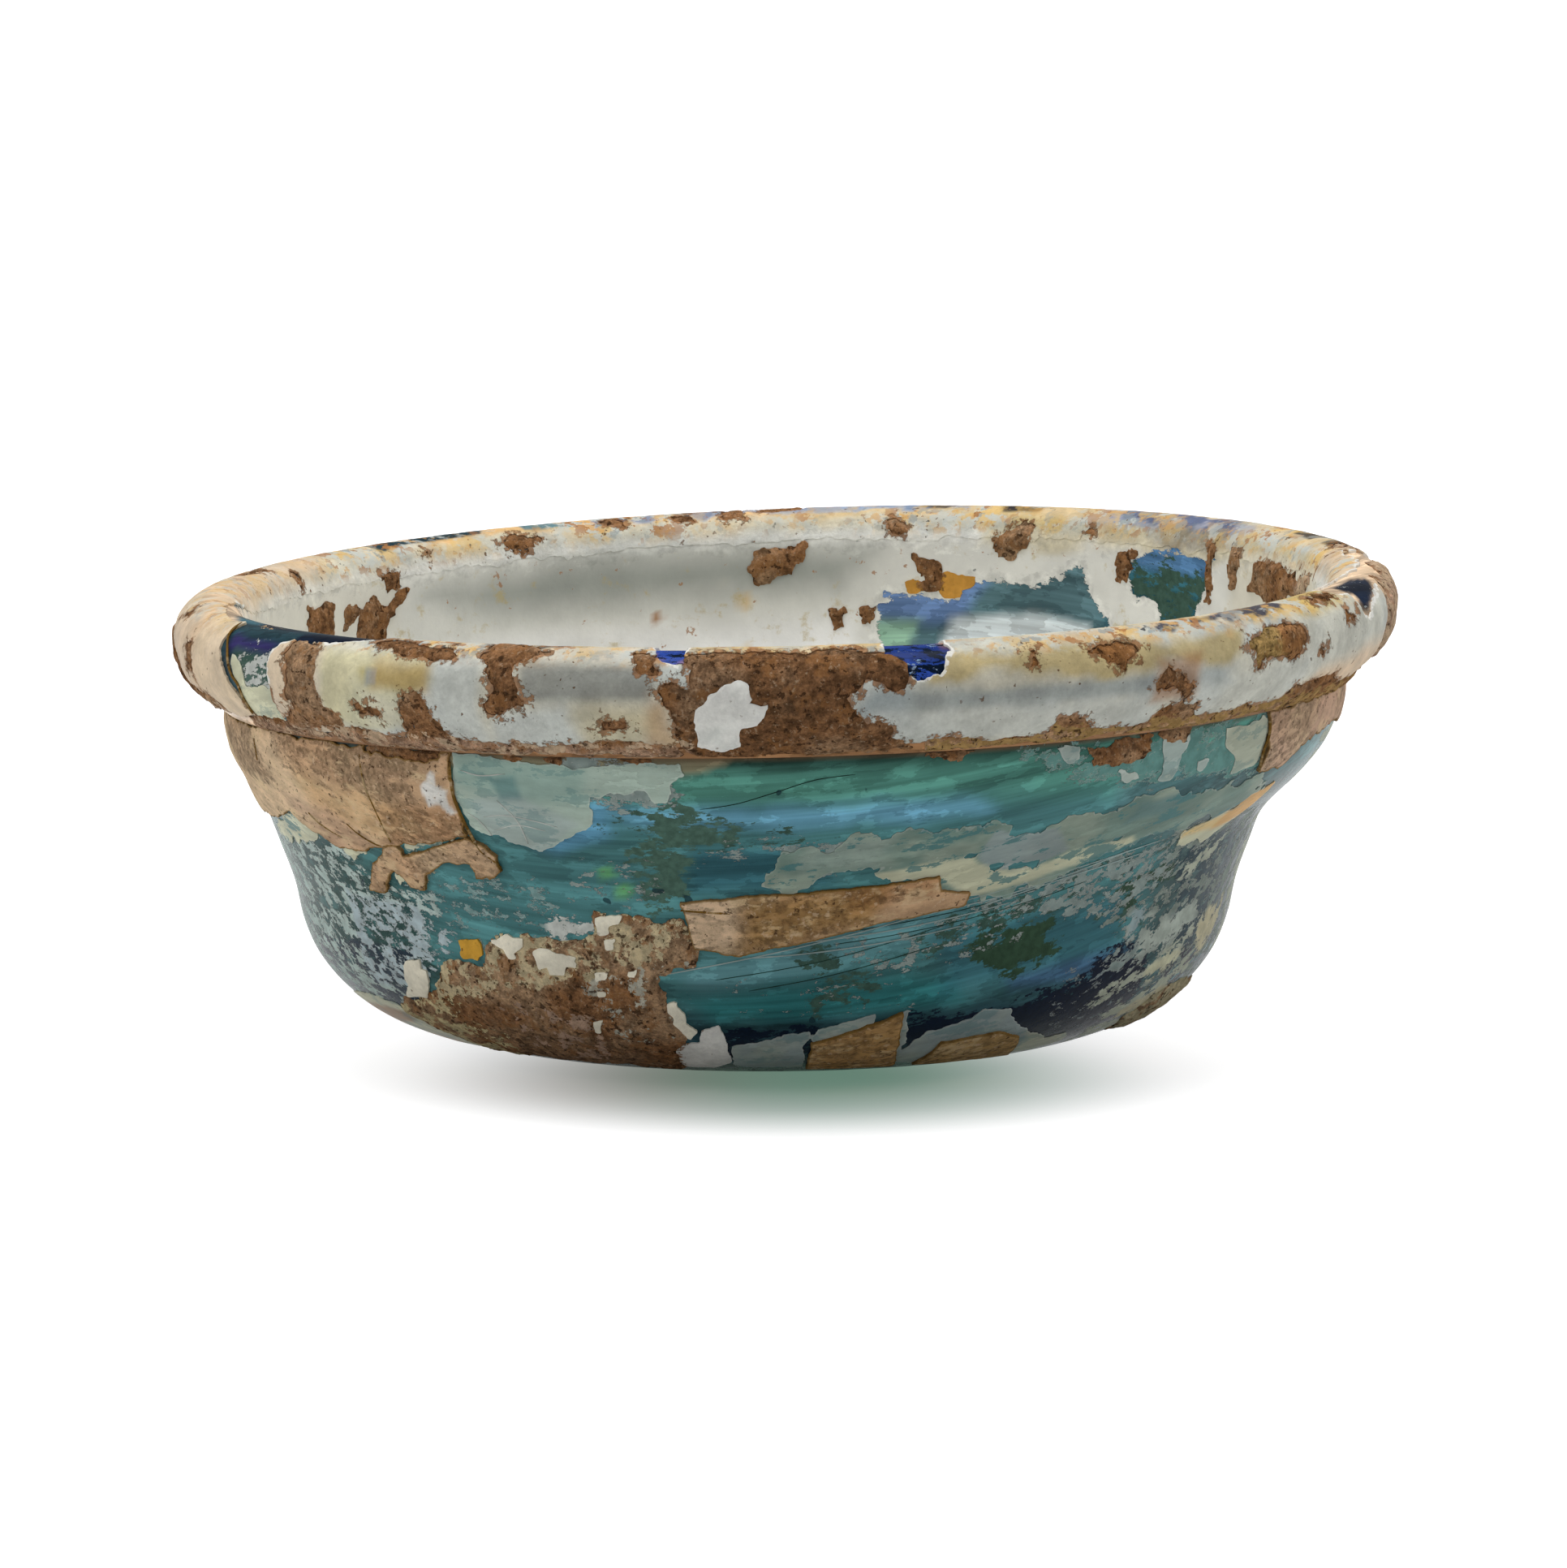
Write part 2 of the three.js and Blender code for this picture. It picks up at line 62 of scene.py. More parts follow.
WALL_SHAPE = [
    (0.22, 0.03), (0.41, 0.085), (0.54, 0.16), (0.63, 0.25), (0.68, 0.345), (0.71, 0.455),
    (0.755, 0.56), (0.805, 0.66), (0.9, 0.76), (0.975, 0.865), (1, 0.945),
]
COLLAR_SHAPE = [(0, 0), (0.26, 0.14), (0.62, 0.36), (0.9, 0.63)]

NECK_RADIUS = RIM_RADIUS - NECK_INSET
LIP_RADIUS = NECK_RADIUS + LIP_LAP
LIP_HEIGHT = VESSEL_HEIGHT - COLLAR_HEIGHT
ROLL_CENTRE = np.array([RIM_RADIUS - ROLL_RADIUS, VESSEL_HEIGHT - ROLL_RADIUS])
HOLLOW_RADIUS = ROLL_RADIUS - FOLD_THICKNESS
KICK_POINT = np.array([(FOOT_RADIUS - FOOT_WIDTH) * 0.55, KICK_HEIGHT * 0.6])

# The outlines of the pieces are drawn on two faces of this length along the section, at this radius
WALL_LENGTH, WALL_DRAWN_RADIUS = 34, 32.5
RIM_LENGTH, RIM_DRAWN_RADIUS = 65, 38


def lerp(a, b, share):
    return a + (b - a) * share


def smooth(value, low, high):
    share = np.clip((value - low) / (high - low), 0, 1)
    return share * share * (3 - 2 * share)


def mix(a, b, share):
    return a + (b - a) * share[..., None]


def spread(colour, points):
    """The same colour for every point."""
    return np.broadcast_to(colour, points.shape).copy()


class Noise:
    """Seeded noise in space, about -1 to 1."""

    def __init__(self, seed):
        source = np.random.default_rng(seed)
        self.order = source.permutation(256)
        self.values = source.uniform(-1, 1, 256)

    def at(self, points):
        cell = np.floor(points).astype(int)
        share = points - cell
        share = share * share * (3 - 2 * share)
        total = np.zeros(points.shape[:-1])
        for corner in range(8):
            step = np.array([corner & 1, corner >> 1 & 1, corner >> 2 & 1])
            key = self.order[(cell[..., 0] + step[0]) & 255]
            key = self.order[(key + cell[..., 1] + step[1]) & 255]
            key = self.order[(key + cell[..., 2] + step[2]) & 255]
            weight = np.where(step == 1, share, 1 - share)
            total += self.values[key] * weight.prod(axis=-1)
        return total

    def rough(self, points, length, scales=4, gain=0.5):
        """Several scales at once, each half as long as the one before and weaker by the gain."""
        total = np.zeros(points.shape[:-1])
        strength = 1.0
        for scale in range(scales):
            total += strength * self.at(points / length + 17.3 * scale)
            length *= 0.5
            strength *= gain
        return total / 1.6


EDGE_NOISE = Noise(3)
LUMP_NOISE = Noise(11)
TINT_NOISE = Noise(23)


# Sections: chains of points in the half plane of radius and height
def arc(centre, radius, start, end, steps):
    angles = np.radians(np.linspace(start, end, steps + 1))
    return [centre + radius * np.array([math.cos(a), math.sin(a)]) for a in angles]


def stretch_normals(points, side):
    along = np.diff(points, axis=0)
    along /= np.linalg.norm(along, axis=1)[:, None]
    return side * np.column_stack([-along[:, 1], along[:, 0]])


def point_normals(points, side):
    stretches = stretch_normals(points, side)
    padded = np.vstack([stretches[:1], stretches, stretches[-1:]])
    normals = padded[:-1] + padded[1:]
    return normals / np.linalg.norm(normals, axis=1)[:, None]


def refined(points, step=0.08):
    """A smooth curve through the points, with even short steps."""
    points = np.array(points, float)
    padded = np.vstack([2 * points[0] - points[1], points, 2 * points[-1] - points[-2]])
    result = []
    for i in range(1, len(padded) - 2):
        a, b, c, d = padded[i - 1:i + 3]
        length = np.linalg.norm(c - b)
        entry = (c - a) * length / (length + np.linalg.norm(b - a))
        leave = (d - b) * length / (length + np.linalg.norm(d - c))
        count = max(2, int(length / step))
        t = np.linspace(0, 1, count, endpoint=False)[:, None]
        result.append(
            (2 * t ** 3 - 3 * t ** 2 + 1) * b + (t ** 3 - 2 * t ** 2 + t) * entry
            + (3 * t ** 2 - 2 * t ** 3) * c + (t ** 3 - t ** 2) * leave
        )
    return np.vstack(result + [points[-1:]])


def wall_points():
    return [np.array([lerp(FOOT_RADIUS, NECK_RADIUS, out), LIP_HEIGHT * up]) for out, up in WALL_SHAPE]


def foot_points():
    return [
        np.array([0, KICK_HEIGHT]), KICK_POINT,
        np.array([FOOT_RADIUS - FOOT_WIDTH, 0]), np.array([FOOT_RADIUS, 0]),
    ]


def collar_points():
    return [
        np.array([lerp(LIP_RADIUS, RIM_RADIUS, out), lerp(LIP_HEIGHT, ROLL_CENTRE[1], up)])
        for out, up in COLLAR_SHAPE
    ]


def hollow_points():
    collar = np.array(collar_points())
    normals = point_normals(collar, -1)
    behind = []
    for i in (3, 2, 1):
        thickness = lerp(LIP_THICKNESS, FOLD_THICKNESS, COLLAR_SHAPE[i][1] / COLLAR_SHAPE[3][1])
        behind.append(collar[i] - thickness * normals[i])
    return [
        np.array([NECK_RADIUS, LIP_HEIGHT]), *arc(ROLL_CENTRE, HOLLOW_RADIUS, 180, 0, 8), *behind,
        np.array([NECK_RADIUS + FOLD_GAP, LIP_HEIGHT + LIP_THICKNESS]),
    ]


def inside_points():
    outside = np.array(foot_points() + wall_points())
    normals = point_normals(outside, -1)
    first = len(foot_points())
    points = []
    for i in range(len(WALL_SHAPE) - 1, 0, -1):
        thickness = lerp(FLOOR_THICKNESS, WALL_THICKNESS, math.sqrt(WALL_SHAPE[i][1] / WALL_SHAPE[-1][1]))
        points.append(outside[first + i] - thickness * normals[first + i])
    points.append(np.array([FOOT_RADIUS, FLOOR_THICKNESS]))
    points.append(np.array([KICK_POINT[0], KICK_POINT[1] + FLOOR_THICKNESS]))
    points.append(np.array([0, KICK_HEIGHT + FLOOR_THICKNESS]))
    return points


def lean(x, y, z):
    """Tilts the rim, waves it and shifts the body under it, as the blowing did."""
    share = smooth(z / LIP_HEIGHT, SHIFT_FROM, SHIFT_TO)
    hold = 0.5 * np.minimum(1, z / LIP_HEIGHT) + 0.5 * share
    turn = np.arctan2(y, x)
    out = np.hypot(x, y) / RIM_RADIUS
    wave = RIM_WAVE * out * out * np.sin(2 * turn - RIM_WAVE_TURN)
    lift = (RIM_TILT * x + wave) * hold
    return np.stack([x - BODY_SHIFT * (1 - share), y, z + lift], axis=-1)


# How far the streaks of the weathering rise from the front to the sides, and how far to the left of the
# front they are lowest
FLOW_RISE = 10.5
FLOW_TURN = math.radians(12)


class Face:
    """One face of the glass that weathering lies on, with the size that its outlines were drawn at."""

    def __init__(self, points, side, drawn_length, drawn_radius):
        self.points = refined(points)
        self.normals = point_normals(self.points, side)
        steps = np.linalg.norm(np.diff(self.points, axis=0), axis=1)
        self.reach = np.concatenate([[0], np.cumsum(steps)])
        self.side = side
        self.stretch = self.reach[-1] / drawn_length
        self.per_degree = math.radians(drawn_radius)
        self.radius = drawn_radius

    def section(self, length):
        place = length * self.stretch
        return [np.interp(place, self.reach, values) for values in (*self.points.T, *self.normals.T)]

    def at(self, angle, length, distance=0.0):
        """Points at an angle in degrees from the front, a drawn length along and a distance off the glass."""
        radius, height, out, up = self.section(length)
        radius = radius + out * distance
        height = np.maximum(0.0, height + up * distance)
        turn = np.radians(angle)
        return lean(radius * np.sin(turn), -radius * np.cos(turn), height)

    def flow(self, angle, length, hold=1.0):
        """A place in which the weathering's streaks run level: they rise from the front to the sides.

        Hold shrinks towards the axis, so that the streaks run straight across the floor and the base.
        """
        turn = np.radians(angle)
        across = self.radius * hold
        rise = FLOW_RISE * hold * np.cos(turn + FLOW_TURN)
        return np.stack([across * np.sin(turn), across * np.cos(turn), length - rise], axis=-1)


WALL = Face(
    [np.array([NECK_RADIUS, LIP_HEIGHT])] + wall_points()[::-1] + [np.array([FOOT_RADIUS, 0])],
    1, WALL_LENGTH, WALL_DRAWN_RADIUS,
)
RIM = Face(
    collar_points() + arc(ROLL_CENTRE, ROLL_RADIUS, -10, 180, 16) + inside_points(),
    -1, RIM_LENGTH, RIM_DRAWN_RADIUS,
)


def depth_in(face, outline, angle, length):
    """Distance in millimetres from points to a closed outline, positive inside."""
    corners = np.array(outline, float)
    middle = corners[:, 0].mean()
    turned = (angle - middle + 180) % 360 - 180 + middle
    x = turned * face.per_degree
    y = length
    corners[:, 0] *= face.per_degree
    nearest = np.full(np.shape(x), 1e9)
    inside = np.zeros(np.shape(x), bool)
    for (ax, ay), (bx, by) in zip(np.roll(corners, 1, axis=0), corners):
        dx, dy = bx - ax, by - ay
        share = np.clip(((x - ax) * dx + (y - ay) * dy) / (dx * dx + dy * dy), 0, 1)
        nearest = np.minimum(nearest, np.hypot(x - ax - share * dx, y - ay - share * dy))
        if ay != by:
            inside ^= ((ay > y) != (by > y)) & (x < ax + dx * (y - ay) / dy)
    return np.where(inside, nearest, -nearest)


# Outlines are lists of corners, each with an angle in degrees and a drawn length
def disc(face, angle, length, radius, corners=14):
    turns = np.linspace(0, 2 * math.pi, corners, endpoint=False)
    return [(angle + radius * math.cos(t) / face.per_degree, length + radius * math.sin(t)) for t in turns]


def box(left, low, right, high):
    return [(left, low), (right, low), (right, high), (left, high)]


def belt(low, high):
    """An outline that goes all the way round. Its ends overlap at the back."""
    return box(-200, low, 200, high)


# Colours, as red, green and blue from 0 to 255 on a screen
def screen(red, green, blue):
    value = np.array([red, green, blue]) / 255
    return np.where(value <= 0.04045, value / 12.92, ((value + 0.055) / 1.055) ** 2.4)


CREAM = screen(206, 202, 184)
COOL_CREAM = screen(192, 196, 190)
GREY_FILM_AND_SHADE = screen(150, 155, 150)
BLUE_GREY = screen(140, 150, 152)
OCHRE = screen(188, 168, 106)
YELLOW = screen(216, 180, 108)
BRIGHT_WHITE = screen(226, 225, 219)
PEACH_CREAM = screen(216, 188, 156)
PEACH = screen(200, 164, 128)
PEACH_LIGHT = screen(220, 194, 160)
PEACH_PINK = screen(196, 164, 140)
SOIL_MIDDLE = screen(148, 108, 74)
SOIL_DARK = screen(104, 74, 50)
SOIL_WARM = screen(166, 116, 70)
SOIL_PALE = screen(186, 156, 124)
GOLD_BROWN = screen(174, 134, 82)
GOLD_EDGE = screen(122, 92, 42)
CHIP_YELLOW = screen(208, 158, 62)
ORANGE = screen(206, 160, 96)
TEAL = screen(72, 118, 120)
TEAL_GREEN = screen(88, 148, 132)
TEAL_DEEP = screen(48, 92, 104)
TEAL_BLUE = screen(108, 168, 206)
BLUE_PALE = screen(90, 132, 138)
STEEL = screen(76, 102, 108)
SHADE_GREEN = screen(34, 58, 50)
SEA_GREEN = screen(46, 114, 116)
DEEP_TEAL = screen(36, 66, 76)
NAVY = screen(12, 24, 42)
NAVY_TEAL = screen(34, 58, 66)
VIOLET = screen(50, 42, 92)
COBALT = screen(38, 64, 138)
SKY_BLUE = screen(96, 140, 188)
LEAF_GREEN = screen(92, 150, 90)
DARK_GREEN = screen(62, 88, 78)
MOSS = screen(50, 74, 56)
GREEN_GREY = screen(150, 164, 156)
PALE_FILM = screen(172, 178, 160)
GREY_VEIL = screen(142, 154, 154)
CREAM_FILM = screen(194, 194, 166)
LINING = screen(226, 226, 220)
LINING_WARM = screen(222, 216, 198)
FLECK = screen(132, 146, 142)
OLIVE = screen(146, 136, 108)

# Soft stains in the glass itself, and some painted shade, on each face: outline, colour, softness, wander and
# strength
GLASS_TINTS = {
    WALL: [
        # Painted shade: the glass is darker towards the bottom and the foot, for the shade on the lower wall
        (belt(20, 54), DEEP_TEAL, 2.5, 1.2, 0.9),
        (belt(36, 54), TEAL, 1.5, 1.5, 0.5),
        ([(-40, -1), (56, -1), (56, 3.4), (-40, 4)], TEAL_GREEN, 1.6, 0.8, 0.8),
        # Painted shade below the overhanging lip: a dark green strip
        ([(-12, -1), (30, -1), (54, -1), (30, 0.8), (10, 1.1), (-8, 1)], SHADE_GREEN, 0.9, 0.4, 0.9),
        ([(-40, -1), (-1, -1), (-9, 1.1), (-22, 1.4), (-38, 1.2)], OLIVE, 0.3, 0.5, 0.9),
        # Painted shade in the crease under the lip: a thin dark brown line all round
        (belt(-1, 0.12), SOIL_DARK, 0.1, 0.0, 0.8),
        ([(-150, 8), (-60, 8), (-44, 12), (-44, 20), (-70, 22), (-150, 24)], screen(56, 92, 90), 2.0, 0.8,
         0.9),
        ([(-20, 3.6), (2, 3.4), (20, 3.4), (22, 4.6), (0, 5.2), (-16, 5)], screen(112, 170, 198), 0.9, 0.7,
         0.85),
        ([(-16, 1.6), (-4, 1.4), (8, 1.8), (4, 3), (-14, 3)], TEAL_GREEN, 0.8, 0.5, 0.6),
        ([(-34, 4), (-19, 3.4), (-18, 5.6), (-24, 8)], TEAL_BLUE, 1.0, 0.6, 0.7),
        ([(-9, 7), (4, 7), (8, 10.4), (-9, 11)], TEAL_DEEP, 0.9, 0.5, 0.8),
        ([(-34, 8.4), (-10, 8), (-10, 12.6), (-30, 13)], TEAL, 1.4, 0.6, 0.7),
        ([(36, 3), (57, 1.2), (57, 5), (38, 5.4)], STEEL, 0.8, 0.6, 0.6),
        ([(-11, 16.6), (0, 15), (24, 11.4), (24, 13.8), (8, 16.6), (-8, 18.6)], BLUE_PALE, 1.0, 0.6, 0.8),
        ([(-10, 18.6), (6, 17.4), (24, 17), (26, 19.6), (-6, 20.8)], SEA_GREEN, 1.0, 0.6, 0.85),
        ([(20, 14), (48, 12.6), (48, 17), (22, 19)], TEAL_DEEP, 1.2, 0.6, 0.7),
        ([(30, 17.6), (52, 16.4), (51, 18.2), (32, 19)], screen(66, 88, 132), 0.6, 0.4, 0.6),
        ([(-10, 21.4), (18, 20), (36, 19.4), (56, 18), (56, 30), (-10, 30)], NAVY_TEAL, 0.9, 0.5, 0.9),
        ([(-62, 17.6), (-50, 17.4), (-50, 21), (-64, 22)], NAVY, 1.0, 0.8, 0.7),
        ([(52, 5), (110, 5), (110, 20), (52, 18)], screen(62, 84, 84), 2.0, 0.8, 0.9),
        ([(-19.5, 9.2), (-18, 8.8), (-17.2, 9.6), (-18.5, 10.1)], LEAF_GREEN, 0.25, 0.5, 0.8),
        ([(-17, 10.7), (-15.8, 10.4), (-15.5, 11), (-16.8, 11.3)], LEAF_GREEN, 0.25, 0.4, 0.8),
    ],
    RIM: [
        (belt(-1, 1.0), SOIL_MIDDLE, 0.2, 0.0, 0.9),
        ([(290, 8.6), (297, 9), (286, 13), (322, 13), (321, 7.4), (307, 7.6), (295, 7.4)], NAVY, 0.6, 0.3,
         1.0),
        ([(300, 9.2), (316, 9.6), (314, 10.8), (298, 10.6)], NAVY_TEAL, 0.6, 0.5, 0.8),
        ([(280, 0), (296, 0), (295, 4), (293, 6.6), (292, 8.8), (288, 9.6), (280, 12.6), (270, 12.6)],
         PEACH_CREAM, 0.15, 0.0, 0.95),
        ([(80, 7.6), (112, 6), (112, 13), (82, 13)], PEACH_CREAM, 0.3, 0.0, 0.95),
        ([(294, 3.4), (306, 3.4), (306, 9), (292.4, 9)], NAVY_TEAL, 0.2, 0.0, 1.0),
        ([(295.4, 6.6), (303, 6.4), (304, 7.5), (295.6, 7.7)], VIOLET, 0.35, 0.4, 0.9),
        ([(298, 3.8), (305, 3.8), (305.6, 6.6), (297, 6.8)], DARK_GREEN, 0.4, 0.3, 1.0),
        (box(-30, 0, 30, 13), SOIL_MIDDLE, 0.2, 0.0, 1.0),
        ([(-13, 9.6), (-9, 9.6), (-8.8, 8.1), (-9.5, 7.7), (-9.5, 7.3), (-11.5, 7.3), (-12.2, 8)], COBALT,
         0.3, 0.2, 1.0),
        ([(-14, 8.6), (-6.5, 8.6), (-7, 13), (-14, 13)], COBALT, 0.2, 0.2, 1.0),
        ([(8.4, 13), (8.8, 7), (10.4, 5.6), (15.6, 5.6), (16, 7.4), (14.8, 9.4), (17, 13)], COBALT, 0.2, 0.2,
         1.0),
        (box(60, 0, 110, 13), PEACH_CREAM, 0.2, 0.0, 1.0),
        ([(70.2, 9.5), (76.5, 9.3), (79.8, 8.4), (76.2, 7.3), (71.5, 6.5), (70, 6.8), (70.8, 7.7),
          (69.8, 8.4)], NAVY, 0.3, 0.2, 1.0),
        ([(125, 12), (140, 12), (139, 13.9), (126, 14)], SKY_BLUE, 0.5, 0.4, 0.9),
        ([(142, 13), (172, 14), (172, 22), (142, 22)], screen(92, 118, 124), 0.6, 0.5, 0.7),
        ([(157, 15), (171, 15.6), (171, 18.4), (160, 18)], screen(106, 134, 186), 0.7, 0.5, 0.8),
        # Painted glow: near-white light in the bare glass low in this hole
        ([(144, 18), (152, 17.4), (161, 17.8), (163, 21), (144, 21)], screen(226, 236, 240), 0.5, 0.4, 0.95),
        ([(165, 18), (172, 17.8), (174, 20), (166, 20)], screen(140, 178, 152), 0.4, 0.4, 0.8),
        (box(190, 36, 216, 48), screen(92, 136, 152), 1.5, 2.0, 0.6),
        (box(60, 22, 76, 31), TEAL_GREEN, 1.5, 1.5, 0.5),
        (box(222, 20, 236, 26), SKY_BLUE, 1.0, 1.2, 0.5),
    ],
}

# Pale film with crisp ragged edges on the glass, on each face: outline, limit and colour. The limit says how
# much of the outline it covers: about half at 0, most of it at 0.8, specks only at -0.8, and all of it at 2.
FILM_PATCHES = {
    WALL: [
        ([(-150, 8.6), (-58, 9.6), (-48, 12.4), (-43, 12), (-42, 15), (-50, 16.6), (-52, 21), (-70, 21.6),
          (-150, 24)], -0.02, screen(172, 190, 184)),
        ([(-46, 11.6), (-34, 10.6), (-24, 11.6), (-27, 14.2), (-38, 15.8), (-46, 15.6)], -0.35,
         screen(120, 152, 150)),
        ([(-60, 13), (-46, 13.4), (-40, 15.4), (-50, 19.6), (-60, 20)], 0.05, screen(166, 182, 186)),
        ([(52, 8.8), (60, 8.4), (110, 9), (110, 21.5), (62, 21.5), (56, 19.6), (50, 16), (36, 12.2),
          (28, 12)], -0.15, screen(122, 134, 126)),
        ([(76, 2.6), (112, 4), (112, 21), (80, 21)], 0.1, PALE_FILM),
        ([(24, 12.4), (38, 10.6), (52, 9.4), (56, 12), (46, 14), (36, 13.2)], 0.05, FLECK),
        ([(46, 20.4), (58, 17.6), (67, 15.8), (66, 16.8), (58, 18.8), (48, 21.2)], 0.3, PALE_FILM),
        ([(52, 22), (68, 18.4), (69, 19.8), (54, 23.2)], 0.35, PALE_FILM),
        ([(53, 24.6), (70, 20.6), (71, 22), (58, 27), (54, 27)], 0.5, PALE_FILM),
        ([(47, 17.6), (60, 14.8), (60, 15.5), (48, 18.3)], 0.2, FLECK),
        ([(58, 11.6), (66, 10), (66, 11), (58, 12.6)], 0.4, PALE_FILM),
        ([(40, 18.4), (54, 17), (54, 27), (44, 27)], -0.5, screen(108, 122, 126)),
        ([(48, 15), (51, 14.2), (57, 15.2), (65, 14.4), (66, 15.7), (62.8, 17.4), (59.5, 19), (56.5, 20.8),
          (53, 19.4), (51, 17)], 0.0, screen(150, 160, 152)),
        ([(25, 0.4), (31, 0.3), (31.2, 0.9), (36, 1.6), (41, 0.3), (58, 0.2), (59, 4.3), (49, 3.8),
          (46.6, 3.2), (41.8, 3.7), (38, 3.4), (30.4, 2.3)], 0.7, screen(96, 138, 132)),
        ([(51, 16.6), (52.8, 15.9), (60.8, 14.9), (65.2, 14.9), (64, 16.4), (57, 17), (52.8, 17.4)], 0.7,
         screen(168, 178, 168)),
        ([(54.2, 18.8), (57, 17.9), (62, 17.5), (64, 18.1), (60.8, 19.1), (57.2, 20.1)], 0.8, CREAM_FILM),
        ([(48.8, 14.9), (49.8, 14.2), (51.8, 14.2), (52, 15.4), (50, 16.2)], 0.8, screen(142, 160, 162)),
        ([(65.2, 16.5), (70.2, 15.5), (75.8, 15.2), (74.2, 17.2), (70.2, 18.8)], 0.6, screen(186, 180, 150)),
        ([(58, 21.5), (65.5, 20.3), (68.2, 21.7), (64, 23), (56, 24)], 0.4, screen(182, 176, 146)),
        ([(-46.4, 9.2), (-42, 8.9), (-40.4, 9.8), (-43, 11.4), (-46, 11)], 1.0, CREAM_FILM),
        ([(1.5, 7.2), (7, 7), (9.5, 8), (7.6, 9.2), (3, 9.4)], 0.7, FLECK),
        ([(-8, 6.8), (2, 6.4), (2, 8), (-8, 8)], -0.5, FLECK),
        ([(10, 15), (30, 12.8), (34, 14), (14, 17)], -0.45, FLECK),
        ([(-8, 18), (20, 16.6), (20, 19), (-8, 20)], -0.8, FLECK),
        ([(-21.5, 8.6), (-13, 8.6), (-13, 11.4), (-21, 11.6)], -0.5, FLECK),
        (disc(WALL, -17, 1.9, 1.5), 0.9, FLECK),
        (disc(WALL, -13.2, 2.4, 1.1), 0.9, FLECK),
        (disc(WALL, -21, 1.4, 1.6), 0.9, FLECK),
        ([(-26.4, 13.3), (-20.4, 13.5), (-20.2, 14.4), (-26, 14.4)], 1.2, COOL_CREAM),
        ([(112, 4), (122, 9), (136, 5.5), (147, 8), (158, 10), (172, 12), (186, 9), (198, 9), (206, 4.5),
          (218, 3), (230, 6.5), (240, 10), (240, 21), (112, 21)], -0.05, GREEN_GREY),
        ([(104, 21), (230, 20), (230, 31), (104, 31)], -0.2, GREY_VEIL),
        (box(-60, 28, 60, 33), -0.2, GREY_VEIL),
        (belt(35, 54), -0.25, GREEN_GREY),
        ([(-80, 35), (-30, 34.6), (-4, 36), (6, 40), (-20, 43), (-64, 44), (-90, 39)], 0.45, CREAM_FILM),
        ([(96, 36), (130, 35), (168, 37), (176, 42), (150, 45), (112, 42)], 0.35, screen(176, 150, 116)),
        ([(206, 38), (240, 36), (256, 40), (236, 45), (212, 43)], 0.2, screen(186, 180, 150)),
    ],
    RIM: [
        ([(299, 4), (304.5, 4), (304.6, 6.4), (301, 6.8), (298, 6.6)], 0.05, COOL_CREAM),
        ([(296, 9.4), (302, 9.6), (304, 10.8), (296, 10.8)], -0.3, ORANGE),
        ([(-14.5, 13), (-13, 7), (-8.6, 7), (-9, 13)], -0.75, SKY_BLUE),
        ([(9.4, 13), (9.2, 7), (15.4, 7.2), (16, 13)], -0.65, SKY_BLUE),
        ([(66, 8.2), (68, 5.8), (72, 5.6), (79, 8), (79, 10.4), (66, 10.4)], -0.8, BLUE_GREY),
        (box(190, 36, 240, 48), -0.4, GREEN_GREY),
        (box(58, 21, 94, 32), -0.35, COOL_CREAM),
        (box(212, 19, 240, 27), -0.4, GREEN_GREY),
    ],
}

